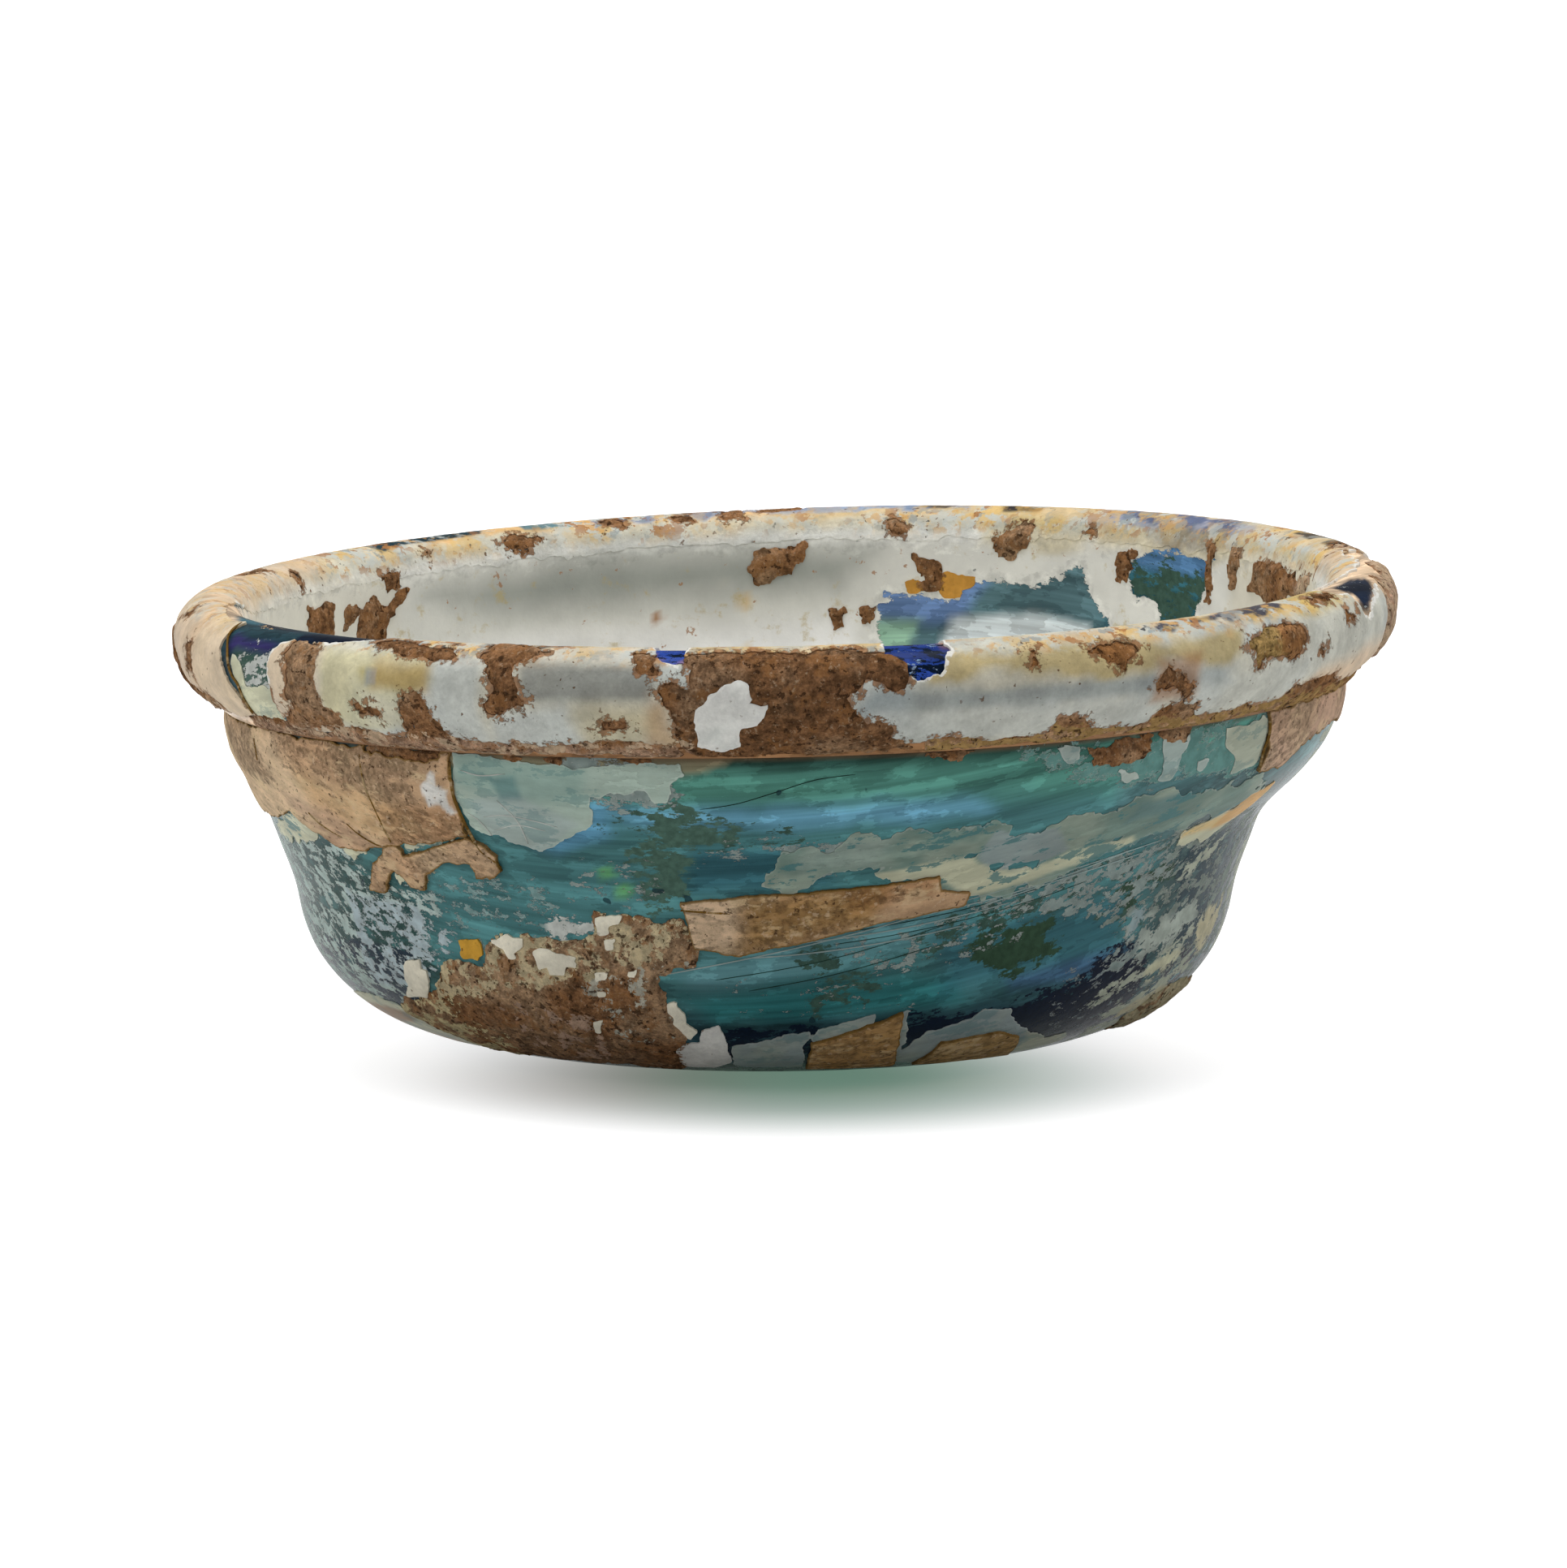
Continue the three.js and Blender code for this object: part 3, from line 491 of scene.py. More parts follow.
# Dark patches with crisp ragged edges in the glass, in the same form
DARK_PATCHES = {
    WALL: [
        ([(-14, 3.6), (-10, 3.4), (-8.8, 4.6), (-5, 4.8), (-3, 5.8), (-8.8, 6.6), (-10.6, 7.5), (-8.2, 8),
          (-9.6, 11.4), (-13.5, 12.2), (-14.5, 8.3), (-16.4, 7.5), (-13.8, 6)], 0.55, screen(74, 102, 90)),
        ([(-19, 4), (-13, 3.8), (-1, 5.4), (2, 6.6), (-6, 7), (-18, 6)], -0.45, DARK_GREEN),
        ([(0, 6), (10, 6.6), (9, 8.2), (0, 7.4)], -0.5, DARK_GREEN),
        ([(18, 13.6), (31, 12.4), (37, 13.4), (30, 15), (18, 15.6)], 0.0, DARK_GREEN),
        ([(25, 14.4), (37, 13.8), (37.4, 16.4), (31, 17.4), (26, 16.6)], 0.7, MOSS),
        ([(4.6, 15.2), (8.4, 15), (8.4, 16), (4.8, 16.2)], 0.0, DARK_GREEN),
        ([(8, 17.4), (13.4, 16.8), (13, 18.6), (6, 19.6)], -0.2, DARK_GREEN),
        ([(45.8, 12.2), (50.6, 11.6), (49.4, 13.8), (46, 13.6)], 0.6, MOSS),
        ([(51.8, 11.2), (55.8, 10.8), (55.4, 12.2), (52, 12.4)], 0.5, MOSS),
        ([(36, 11), (56, 9.6), (62, 12), (50, 15), (38, 13)], -0.4, DARK_GREEN),
        ([(18, 20.4), (30, 20.6), (36, 19.7), (42.5, 18.4), (48, 16.6), (53.4, 17), (56.4, 19.6), (56, 23),
          (51, 27.4), (38, 27.4), (34, 24), (28, 21.8), (18, 24)], 1.1, NAVY),
        ([(-8, 22), (6, 21.2), (6, 28), (-6, 28)], 0.2, NAVY),
        ([(-150, 9), (-60, 9.4), (-50, 13), (-44, 18), (-52, 21), (-70, 21.6), (-150, 24)], 0.25,
         screen(46, 74, 70)),
        ([(-90, 18), (-60, 16.4), (-47, 16.4), (-50, 21), (-64, 22.4), (-90, 24)], 0.35, screen(34, 50, 62)),
        ([(54, 9), (110, 8), (110, 22), (66, 21.4)], 0.25, NAVY_TEAL),
        ([(60, 18.6), (70, 16.8), (70, 20.4), (62, 22)], 0.3, NAVY),
        (box(110, 18, 236, 30), 0.0, NAVY_TEAL),
        ([(24, 35), (86, 35), (80, 46), (30, 48)], 0.1, NAVY_TEAL),
        ([(170, 35), (230, 35), (220, 50), (170, 48)], -0.1, DARK_GREEN),
        ([(112, 3), (124, 6), (140, 6), (150, 10), (170, 12), (186, 9), (200, 8), (208, 3), (226, 2),
          (236, 10), (236, 18), (112, 18)], -0.2, DARK_GREEN),
    ],
    RIM: [
        ([(126, 14), (139, 13.8), (135, 18.4), (126, 18.4)], 0.5, DARK_GREEN),
        ([(-13, 13), (-12, 7.6), (-7.6, 7.6), (-7.6, 13)], -0.3, NAVY),
        ([(9, 13), (8.8, 7), (10.4, 5.6), (15.4, 5.6), (16, 7.4), (14.4, 9.4), (15, 13)], -0.3, NAVY),
        ([(9, 7), (10.4, 5.8), (15, 5.8), (15, 6.6)], 0.4, NAVY),
    ],
}

# Holes in the enamel that lines the inside: outline on the rim face, and how far the edge wanders finely
# and broadly
LINING_HOLES = [
    ([(126, 13), (131, 12.4), (136, 12.9), (138, 13.6), (138.3, 14.6), (137.5, 15.5), (135, 16), (134, 16.6),
      (135, 18.2), (130, 17.2), (128, 16), (127, 14.8)], 0.5, 0.0),
    ([(144, 16.2), (145.5, 14.2), (148, 14.9), (151.5, 15.5), (155, 15.2), (158.5, 15), (161, 16.9),
      (165, 16.5), (169, 16.3), (170, 19.5), (164, 21.5), (142, 19), (142, 17.5)], 0.5, 0.0),
    ([(217, 22.8), (219.4, 21.6), (222.6, 21.8), (226, 20.8), (230, 21), (232.6, 22.4), (233, 23.6),
      (230, 24), (227.6, 25.2), (224, 24.8), (220.6, 25.4), (218, 24.4)], 0.0, 2.2),
    ([(302, 15.6), (312, 15), (320, 16.8), (316, 19.6), (306, 19.2)], 0.0, 1.8),
    ([(20, 17), (38, 16.4), (44, 18), (36, 20.2), (23, 19.4)], 0.0, 1.8),
    ([(63, 25.4), (68, 24.2), (73, 24.8), (79, 23.4), (85, 24.2), (88, 26.2), (84, 27.6), (80, 29.2),
      (74, 28.8), (68, 29.4), (64, 27.6)], 0.0, 2.4),
    ([(-42, 31), (-12, 30), (0, 33), (-18, 36.6), (-42, 35)], 0.0, 2.8),
    ([(198, 41), (203, 39), (211, 39.4), (219, 38), (228, 39), (233, 41.6), (228, 43), (222, 43.4),
      (215, 45.2), (206, 44.4), (200, 43.4)], 0.0, 2.4),
]

# Soft stains in the enamel on the rim and in the bowl, with painted shade and painted light on the inner
# wall: outline, colour, softness, wander and strength
ENAMEL_TINTS = [
    (belt(8.4, 10.6), YELLOW, 1.0, 1.4, 0.35),
    ([(-75, 0), (-56, 0), (-56, 3), (-60, 5), (-64, 8), (-76, 9)], PEACH_LIGHT, 1.2, 0.6, 0.75),
    (box(-57, 1, -48, 8.4), PEACH_CREAM, 1.0, 0.4, 0.6),
    (box(258, 0, 287, 8.4), PEACH_CREAM, 1.0, 0.8, 0.75),
    ([(-48, 3), (-44, 2.6), (-36, 3), (-34.6, 7.8), (-48, 7.6)], screen(208, 200, 152), 0.6, 0.9, 0.6),
    ([(-42.5, 6.4), (-40, 6.7), (-34, 6.8), (-33.2, 6), (-34.8, 5.3), (-37.8, 5.1), (-41.2, 5.4)],
     screen(164, 150, 92), 0.5, 0.6, 0.8),
    (box(-41.7, 5.5, -40.4, 6.5), GREY_FILM_AND_SHADE, 0.06, 0.1, 0.9),
    ([(-41, 5.2), (-34.2, 5.2), (-34, 7), (-41, 7.2)], GOLD_BROWN, 0.5, 0.3, 0.35),
    ([(-42, 3), (-35, 3), (-36, 5), (-42, 5)], CREAM, 0.5, 0.4, 0.5),
    ([(-34.4, 1.4), (-29, 1.6), (-28.6, 8), (-34, 8)], COOL_CREAM, 0.6, 0.5, 0.9),
    ([(-28.4, 1.3), (-19.6, 1.3), (-20, 4.6), (-27.6, 4.4)], COOL_CREAM, 0.5, 0.4, 0.9),
    ([(-24.8, 5), (-12, 5), (-11.6, 7.4), (-24.8, 7.6)], screen(138, 140, 134), 0.5, 0.4, 0.9),
    ([(-19.6, 1.6), (-9.8, 1.6), (-11, 5), (-19.6, 4.8)], OCHRE, 0.9, 0.7, 0.4),
    ([(-13.4, 1.2), (-9.6, 1.2), (-10.6, 5.4), (-12.6, 5.6)], SOIL_WARM, 0.6, 0.5, 0.45),
    ([(-40, 9.2), (-33, 9), (-33, 11.6), (-38, 11.8)], COOL_CREAM, 0.6, 0.4, 0.7),
    ([(-27, 8.8), (-23, 8.6), (-24, 11.6), (-27, 11.8)], BLUE_GREY, 0.5, 0.4, 0.7),
    (box(-33, 7.6, -14, 12.4), PEACH_CREAM, 0.9, 0.6, 0.4),
    (box(-9, 8, 9, 12.6), YELLOW, 0.7, 0.5, 0.5),
    (box(-1, 8.8, 3, 11.6), COOL_CREAM, 0.5, 0.4, 0.7),
    ([(6, 4), (46, 4), (44, 5.3), (8, 5.4)], BLUE_GREY, 0.5, 0.4, 0.75),
    (box(8, 1.4, 37, 4.2), COOL_CREAM, 0.6, 0.4, 0.75),
    ([(13.6, 6.2), (20, 6), (45, 5.4), (47, 7.2), (30, 7.8), (15, 7.8)], screen(180, 158, 98), 0.5, 1.0,
     0.75),
    ([(36, 3.6), (41.4, 3.4), (41.4, 6.4), (36, 6.4)], SOIL_WARM, 0.5, 0.5, 0.6),
    ([(15, 8), (46, 7.8), (46, 9.2), (14.4, 9.4)], COOL_CREAM, 0.5, 0.7, 0.7),
    ([(26, 7.9), (60, 8), (60, 9.4), (26, 9.2)], screen(202, 166, 112), 0.3, 1.8, 0.6),
    ([(37.2, 8.7), (43.2, 9.7), (48.2, 9.8), (57.2, 10.3), (55.5, 8.2), (49, 8.2), (42.8, 8), (37.2, 7.7)],
     screen(46, 56, 78), 0.1, 1.5, 0.9),
    ([(22, 9), (33, 9), (34, 11.6), (20, 11.8)], COOL_CREAM, 0.6, 0.4, 0.7),
    ([(41, 1.6), (56, 1.6), (58, 5), (41, 5)], COOL_CREAM, 0.7, 0.5, 0.6),
    ([(56, 3), (79, 3.6), (79, 8), (56, 7)], COOL_CREAM, 0.8, 0.5, 0.5),
    ([(54, 1.2), (78, 1.6), (79, 4.6), (60, 3.8)], PEACH_CREAM, 0.8, 0.5, 0.8),
    ([(57, 7.4), (66, 7.6), (66, 10.6), (57, 10)], OCHRE, 0.5, 0.5, 0.8),
    ([(77, 7.4), (104, 7.6), (104, 12), (76, 10.4)], PEACH_CREAM, 0.8, 0.6, 0.7),
    ([(178, 8.6), (230, 8.6), (226, 10.2), (178, 10.5)], screen(226, 180, 118), 0.3, 1.0, 0.8),
    ([(100, 8.6), (178, 8.6), (178, 10.8), (100, 11.2)], screen(218, 186, 128), 0.5, 1.5, 0.6),
    ([(121, 8.6), (146, 8.6), (144, 11.8), (121, 11.8)], screen(112, 130, 168), 0.15, 2.0, 0.7),
    (box(184, 8.4, 200, 10.2), screen(150, 174, 200), 0.15, 1.8, 0.7),
    ([(212, 8.2), (229, 8.4), (228.6, 10.7), (223.5, 10.2), (214, 10.1)], NAVY_TEAL, 0.1, 0.25, 1.0),
    ([(202, 8.2), (209, 8.2), (208.8, 10.2), (203.4, 10.4)], screen(86, 128, 138), 0.12, 0.3, 0.95),
    ([(160, 8.2), (168, 8.2), (167.2, 10.1), (162.5, 10.2)], NAVY, 0.12, 0.7, 0.85),
    ([(151, 8.2), (157, 8.2), (156, 10.1), (152, 10.1)], NAVY, 0.12, 0.5, 0.95),
    ([(107, 8.2), (116, 8.2), (114, 10), (109, 9.9)], NAVY, 0.12, 0.6, 0.85),
    ([(101.6, 8.2), (107, 8.2), (106, 10), (102.5, 10)], NAVY, 0.12, 0.4, 0.95),
    ([(123, 8.6), (143, 8.6), (142, 11.2), (124, 11.2)], screen(72, 90, 126), 0.1, 2.4, 0.75),
    (box(168, 8.6, 200, 9.9), screen(96, 116, 150), 0.1, 2.0, 0.6),
    ([(-24, 8.8), (-19, 8.9), (-19, 9.6), (-24, 9.6)], NAVY, 0.12, 0.6, 0.7),
    (box(100, 11, 158, 12.9), OCHRE, 0.6, 1.0, 0.5),
    ([(238, 8.6), (284, 8.2), (290, 10.8), (262, 12.4), (240, 11.4)], PEACH_CREAM, 0.8, 0.6, 0.8),
    ([(160, 9), (184, 8.8), (184, 10.2), (160, 10.2)], screen(140, 164, 196), 0.15, 1.6, 0.7),
    # Painted shade: a grey band on the inner wall under the rolled rim
    ([(170, 13.2), (200, 12.6), (224, 14), (214, 16), (200, 16.2), (174, 15.8)], GREY_FILM_AND_SHADE, 1.8, 0.5, 0.85),
    # Painted light: the inner wall lighter, near white, below that shade band
    ([(172, 17.8), (206, 17.6), (236, 17.6), (236, 24), (172, 24)], screen(242, 242, 240), 1.0, 0.4, 0.95),
    (disc(RIM, 194.4, 17.2, 0.3), SOIL_WARM, 0.25, 0.5, 0.9),
    (disc(RIM, 186.8, 15.0, 0.3), OCHRE, 0.3, 0.9, 0.8),
    (disc(RIM, 184.2, 16.6, 0.5), YELLOW, 0.4, 1.2, 0.6),
    (disc(RIM, 184.6, 19.6, 0.5), YELLOW, 0.3, 1.4, 0.7),
    (disc(RIM, 200, 19.8, 0.6), OCHRE, 0.6, 0.9, 0.5),
    (disc(RIM, 152, 17.6, 0.5), OCHRE, 0.3, 0.9, 0.6),
    (box(97, 12, 122, 18), LINING_WARM, 1.0, 0.6, 0.7),
    (box(228, 11, 270, 16), LINING_WARM, 1.0, 0.6, 0.4),
    ([(130, 29), (176, 28), (176, 43), (126, 44)], screen(214, 200, 168), 2.0, 1.6, 0.7),
    (belt(33, 66), screen(216, 212, 196), 2.0, 2.6, 0.6),
    ([(20, 46), (120, 44), (140, 56), (40, 60)], screen(206, 190, 150), 1.6, 2.6, 0.6),
    (box(-30, 42, 90, 60), LINING_WARM, 3.0, 1.6, 0.6),
]

# Outlines of the pieces on the rim, as the model has them, and of smaller ones that lie between them: angle,
# and length from the lip up the collar, over the top and down the inside
RIM_PIECES = {
    "patina_window": [
        [(-8.2, 1.6), (-8, 4.5), (-7, 5.5), (-4, 6.5), (-3, 6.2), (-3.2, 5), (-1.5, 4.7), (-2, 3.8),
         (-4, 3.2), (-4.2, 1.5), (-6, 1)],
    ],
    "soil_spots": [
        [(-14.2, 8.4), (-12.2, 8.2), (-12, 6.9), (-13.2, 6.8), (-13.8, 7.4)],
        [(-37.5, 4.8), (-35.8, 5.1), (-34.8, 4.4), (-34.5, 3.4), (-33.8, 2.5), (-37.2, 2.4), (-37.2, 4)],
        [(-43.5, 4), (-41.8, 4.5), (-40.2, 3.9), (-41, 3.1), (-42.2, 3.3), (-43.2, 3.4)],
        [(-17, 3.7), (-16, 4.1), (-14.5, 4), (-14.2, 3.2), (-17.2, 3)],
        [(-42.8, 8.4), (-40.8, 9.3), (-36.5, 8.5), (-33.2, 8.3), (-32.2, 7.7), (-34.5, 7.4), (-37, 7.5),
         (-39, 7.9), (-41.5, 7.8)],
        [(28.5, 7.5), (30.5, 7.6), (33.5, 7.3), (34.8, 7), (34, 6.5), (32.5, 5.8), (31.2, 6.5), (29, 6.8)],
        [(23.2, 7.8), (24, 7.6), (23.5, 6.6), (22.8, 6.7)],
        [(35.5, 4.8), (37.2, 5.5), (39.2, 5), (40.2, 4.3), (39.8, 3.7), (37.5, 4.4), (36.2, 4.3)],
        [(59, 5.5), (60.2, 5.4), (60.2, 4.7), (59.2, 4.9)],
        [(65.5, 7.1), (68.5, 7), (67.8, 6.3), (64.8, 6.3)],
        [(26.2, 2.4), (27.8, 3.1), (30.2, 2.1), (30.8, 1.2), (26.8, 1.6)],
        [(37, 0.9), (39.2, 2.4), (40.8, 2.5), (42.5, 1.2), (39.8, 0.3)],
        [(61.8, 9), (67.5, 9), (65.8, 8.1), (60, 8)],
        [(-82, 1.4), (-70, 1.6), (-71, 2.8), (-76, 3), (-80, 3.4)],
        [(-77, 4.4), (-74, 4), (-74, 6.6), (-76, 6)],
        [(-86, 7), (-80, 7.4), (-82, 8.4)],
        [(211.8, 10.7), (209.2, 10.3), (207.5, 11.1), (208.8, 11.8), (211.2, 11.7)],
        [(200.2, 9.9), (198.5, 9.2), (197, 10.1), (197.8, 10.8), (200.2, 10.8)],
        [(192.5, 10), (190, 9.6), (189.8, 10.6), (192.2, 10.7)],
        [(222.8, 10.5), (222, 11.1), (222.5, 11.5), (223, 11.2)],
        [(245.5, 10.5), (244.5, 11.2), (245.8, 11.6), (246.5, 11.1)],
        [(156.2, 12.5), (153, 11.2), (152.2, 11.7), (152.2, 13.1), (155.5, 13.1)],
        [(145.2, 11.6), (144, 11.3), (143.5, 11.8), (145, 11.8)],
        [(168.5, 11.5), (166.8, 11.4), (166.5, 12), (168, 12)],
        [(160.2, 13.2), (159, 13), (159.2, 13.5), (160, 13.5)],
        [(187.2, 9.7), (184.5, 8.6), (184.2, 10.7), (186.8, 10.9)],
        [(248, 8.8), (254, 9.2), (252, 10), (248.4, 9.8)],
        [(100, 8.6), (105, 8.2), (104, 9.8), (101, 9.8)],
        [(177, 7.4), (183.6, 7), (184, 9), (182, 10), (178.4, 9.6)],
    ],
    "soil_rim_left": [
        [(-54, 7.7), (-53, 8.2), (-49.8, 7.7), (-49, 6.4), (-49, 5.2), (-48, 4.2), (-46, 3.4), (-46.8, 2.1),
         (-57.5, 1), (-53.2, 3.5), (-53.2, 4.6), (-52.2, 5.8), (-53.5, 6.8)],
    ],
    "soil_lip_left": [
        [(-66, 0.3), (-65, 1.6), (-56, 1.7), (-52, 1.4), (-43.6, 2.3), (-40, 1.9), (-38, 2.4), (-38, 4.6),
         (-35, 4.8), (-34.2, 3.2), (-31.5, 2.1), (-28.5, 1.7), (-22, 1.4), (-17.5, 2.4), (-13, 2),
         (-10.4, 1.6), (-9.8, 0.3)],
    ],
    "soil_rim_middle_left": [
        [(-29.2, 7.8), (-29.5, 10.2), (-25.8, 10.3), (-22.2, 8.1), (-24.2, 7.6), (-25.2, 7.3), (-25.2, 6.5),
         (-24.5, 5.5), (-23.8, 4.9), (-24, 4.3), (-25.2, 4.4), (-26.8, 3.9), (-28.2, 4.3), (-28, 5.7),
         (-28.8, 6.7)],
    ],
    "soil_rim_centre": [
        [(-12.2, 5.6), (-12, 6.7), (-9, 6.2), (-8.8, 7.2), (-9.2, 8), (-7, 8.6), (-4, 8.3), (0, 8.4),
         (6, 8.4), (9.5, 7.8), (11, 7.1), (11.2, 6.3), (11, 5.6), (10.2, 5.3), (9, 5.9), (7.2, 6.4), (6, 4.9),
         (6.5, 4.1), (9, 3.6), (13.2, 0.3), (-9.4, 0.3), (-10.2, 3.4), (-10.2, 4.5)],
    ],
    "soil_rim_right": [
        [(47.5, 6.9), (50.5, 7), (53.8, 7), (56.2, 6.4), (55.8, 5.7), (54.8, 5), (52.5, 5.7), (50.5, 5.4),
         (49.2, 4.9), (48, 5.6), (46.8, 6.1)],
    ],
    "soil_lip_right": [
        [(13.6, 0.3), (13.8, 1.5), (20, 1.2), (25.5, 1.6), (26.6, 2.7), (28.6, 2.5), (29.8, 1.6), (36, 1.4),
         (37.8, 2.7), (40, 3.2), (42, 2.6), (43.4, 1.6), (50, 1.5), (55.6, 1.8), (56.2, 2.6), (60, 3),
         (64, 2.8), (69, 1.7), (77, 1.3), (77, 0.3)],
    ],
    "soil_rim_far_right": [
        [(79, 3.6), (78.4, 6.4), (80.6, 7), (82, 8.6), (86, 8), (90, 9), (93, 7.6), (97, 8), (99, 6.6),
         (103, 6.2), (100, 5.2), (100.6, 3.8), (96, 3.6), (93, 2), (89, 2.8), (84, 1.4), (82, 3)],
    ],
    "soil_rim_back_right": [[(128, 1), (131, 4.4), (138, 6.8), (147, 5.6), (150, 2.8), (144, 0.7)]],
    "soil_rim_back_left": [
        [(203, 7.8), (214, 8.4), (219, 5.8), (215, 3), (219, 0.8), (204, 0.7), (200, 3.6)],
    ],
    "soil_rim_far_left": [[(266, 1), (263, 4), (270, 6.6), (279, 4.4), (283, 1.2), (274, 0.6)]],
    "soil_lip_far_right": [[(80, 0.3), (83, 1.3), (100, 1.7), (114, 1.4), (127, 1.8), (127, 0.3)]],
    "soil_lip_back": [[(151, 0.3), (152, 1.5), (166, 2.2), (176, 1.6), (190, 1.4), (199, 2.1), (201, 0.3)]],
    "soil_lip_back_left": [[(220, 0.3), (221, 1.7), (238, 1.3), (246, 2), (261, 1.6), (264, 0.3)]],
    "film_rim_left": [
        [(-61.9, 1.9), (-56.4, 1.9), (-55.9, 4.5), (-60.4, 4.4), (-61.2, 5.7), (-63.2, 6.5), (-62.2, 4.6)],
    ],
    "soil_inner_left": [
        [(226.5, 13.6), (229.5, 14.2), (231, 13.4), (234, 14.4), (234.6, 16.4), (233, 18.6), (229.8, 18.4),
         (229, 15.8)],
    ],
    "soil_inner_far_left": [[(238.8, 13.6), (244.6, 13.2), (245.4, 15), (244, 17.4), (239.6, 17.2)]],
    "soil_inner_back": [[(178, 12.8), (183.5, 12.8), (185.4, 14), (183.6, 15.4), (178.6, 15.2)]],
    "soil_inner_right": [
        [(101, 12.6), (109, 12.4), (117, 12.8), (118.4, 14.4), (114, 15), (108.5, 14.2), (103, 14.2)],
    ],
    "soil_inner_floor": [
        [(129, 33.4), (133, 31.8), (139, 32.2), (146, 31), (153, 32.2), (159, 31.6), (164, 33.4), (167, 34.8),
         (163, 36.2), (164, 38.2), (158, 38.2), (152, 40), (146, 39.2), (140, 40.6), (134, 38.2), (128, 37.6),
         (130.6, 35.4)],
    ],
    "soil_inner_spots": [
        [(162.8, 15.8), (162.2, 14.4), (163.4, 13.8), (165.4, 13.7), (165, 14.5), (164, 14.8), (164.2, 15.8)],
        [(152.8, 12.1), (156.6, 12.2), (156, 13.8), (153.6, 13.6)],
        [(120.8, 12), (122.2, 12), (122.4, 14.6), (121.2, 14.6)],
        [(125.4, 12), (126.6, 12), (126.8, 15.6), (125.8, 15.6)],
        [(137.8, 13), (140.4, 13), (140.2, 14.9), (139, 14.8)],
        [(208.6, 10.9), (212.4, 10.8), (211.4, 12), (209, 12)],
        [(227, 12), (230.2, 12.1), (229.6, 13.3), (227.4, 13.2)],
        [(234.4, 13.9), (237.2, 14), (236.8, 15.3), (234.6, 15.2)],
        [(169.8, 17), (171.4, 17), (171.2, 18.2), (170, 18)],
        [(173.6, 17.2), (174.9, 17.3), (174.7, 18.8), (173.8, 18.6)],
        [(244.4, 10.9), (246, 11), (245.4, 12.1), (244.4, 12)],
        [(110.5, 16), (114, 15.8), (113.4, 18.4), (111, 18.2)],
        [(20, 13), (27, 13.2), (25, 15), (21, 14.8)],
        [(-40, 13.4), (-31, 13.8), (-33, 16.4), (-38, 16)],
        [(-69, 24.6), (-64, 23.4), (-58, 23.4), (-55, 25.2), (-59, 26.6), (-65, 27.6)],
        [(263, 39), (268, 38.4), (272, 37), (278, 38), (285, 36.8), (288, 39), (284, 40.4), (283, 42),
         (276, 41.8), (271, 43.4), (267, 41.8)],
        [(39, 34.8), (44, 33.8), (50, 34.2), (54, 34), (55, 36.6), (50, 36.8), (46, 38.6), (41, 37)],
    ],
    "patina_inner_orange": [
        [(158.4, 14.9), (161.5, 14.8), (164.4, 15.3), (166.4, 15.4), (166.2, 16.1), (162.6, 15.9),
         (162.4, 16.5), (160, 16.5), (159.9, 15.9), (158.6, 15.7)],
    ],
    "patina_rim_front_left": [
        [(-56, 1.3), (-5, 1.3), (-4, 5), (-7, 7.2), (-8, 7.6), (-9.5, 7.3), (-11.5, 7.3), (-12, 8),
         (-12.4, 10), (-12.6, 12.4), (-30, 12.6), (-39.5, 12.4), (-42.6, 9), (-48, 7.9), (-53.6, 8.2),
         (-56.2, 7), (-55.8, 4.6)],
    ],
    "patina_rim_front_top": [[(-9.4, 8.1), (9.3, 8), (9.5, 12.4), (-9.8, 12.4)]],
    "patina_rim_front_right": [
        [(3, 6), (3, 3.9), (8, 1.3), (55.5, 1.3), (57, 2.8), (72, 1.5), (76.6, 3.2), (79, 7.8), (75, 7),
         (71, 6.1), (69.6, 6.4), (69.6, 8.2), (67, 8.6), (66.6, 10.2), (78, 10.3), (84, 9.2), (99, 9.6),
         (99, 12.5), (16, 12.5), (14.8, 10), (15.4, 8), (14.8, 6.4), (14.2, 6), (12.5, 6.1), (11.2, 6.7),
         (6, 7)],
    ],
    "patina_rim_back_right": [
        [(97, 9.4), (104.5, 6.2), (100, 3.4), (94, 1.4), (179, 1.3), (179, 12.4), (97, 12.4)],
    ],
    "patina_rim_back_left": [
        [(178.2, 1.3), (291, 1.3), (298, 2), (296.5, 4.4), (294, 6.6), (294, 8.7), (280, 9.6), (270, 11),
         (262, 12.6), (178.2, 12.4)],
    ],
}

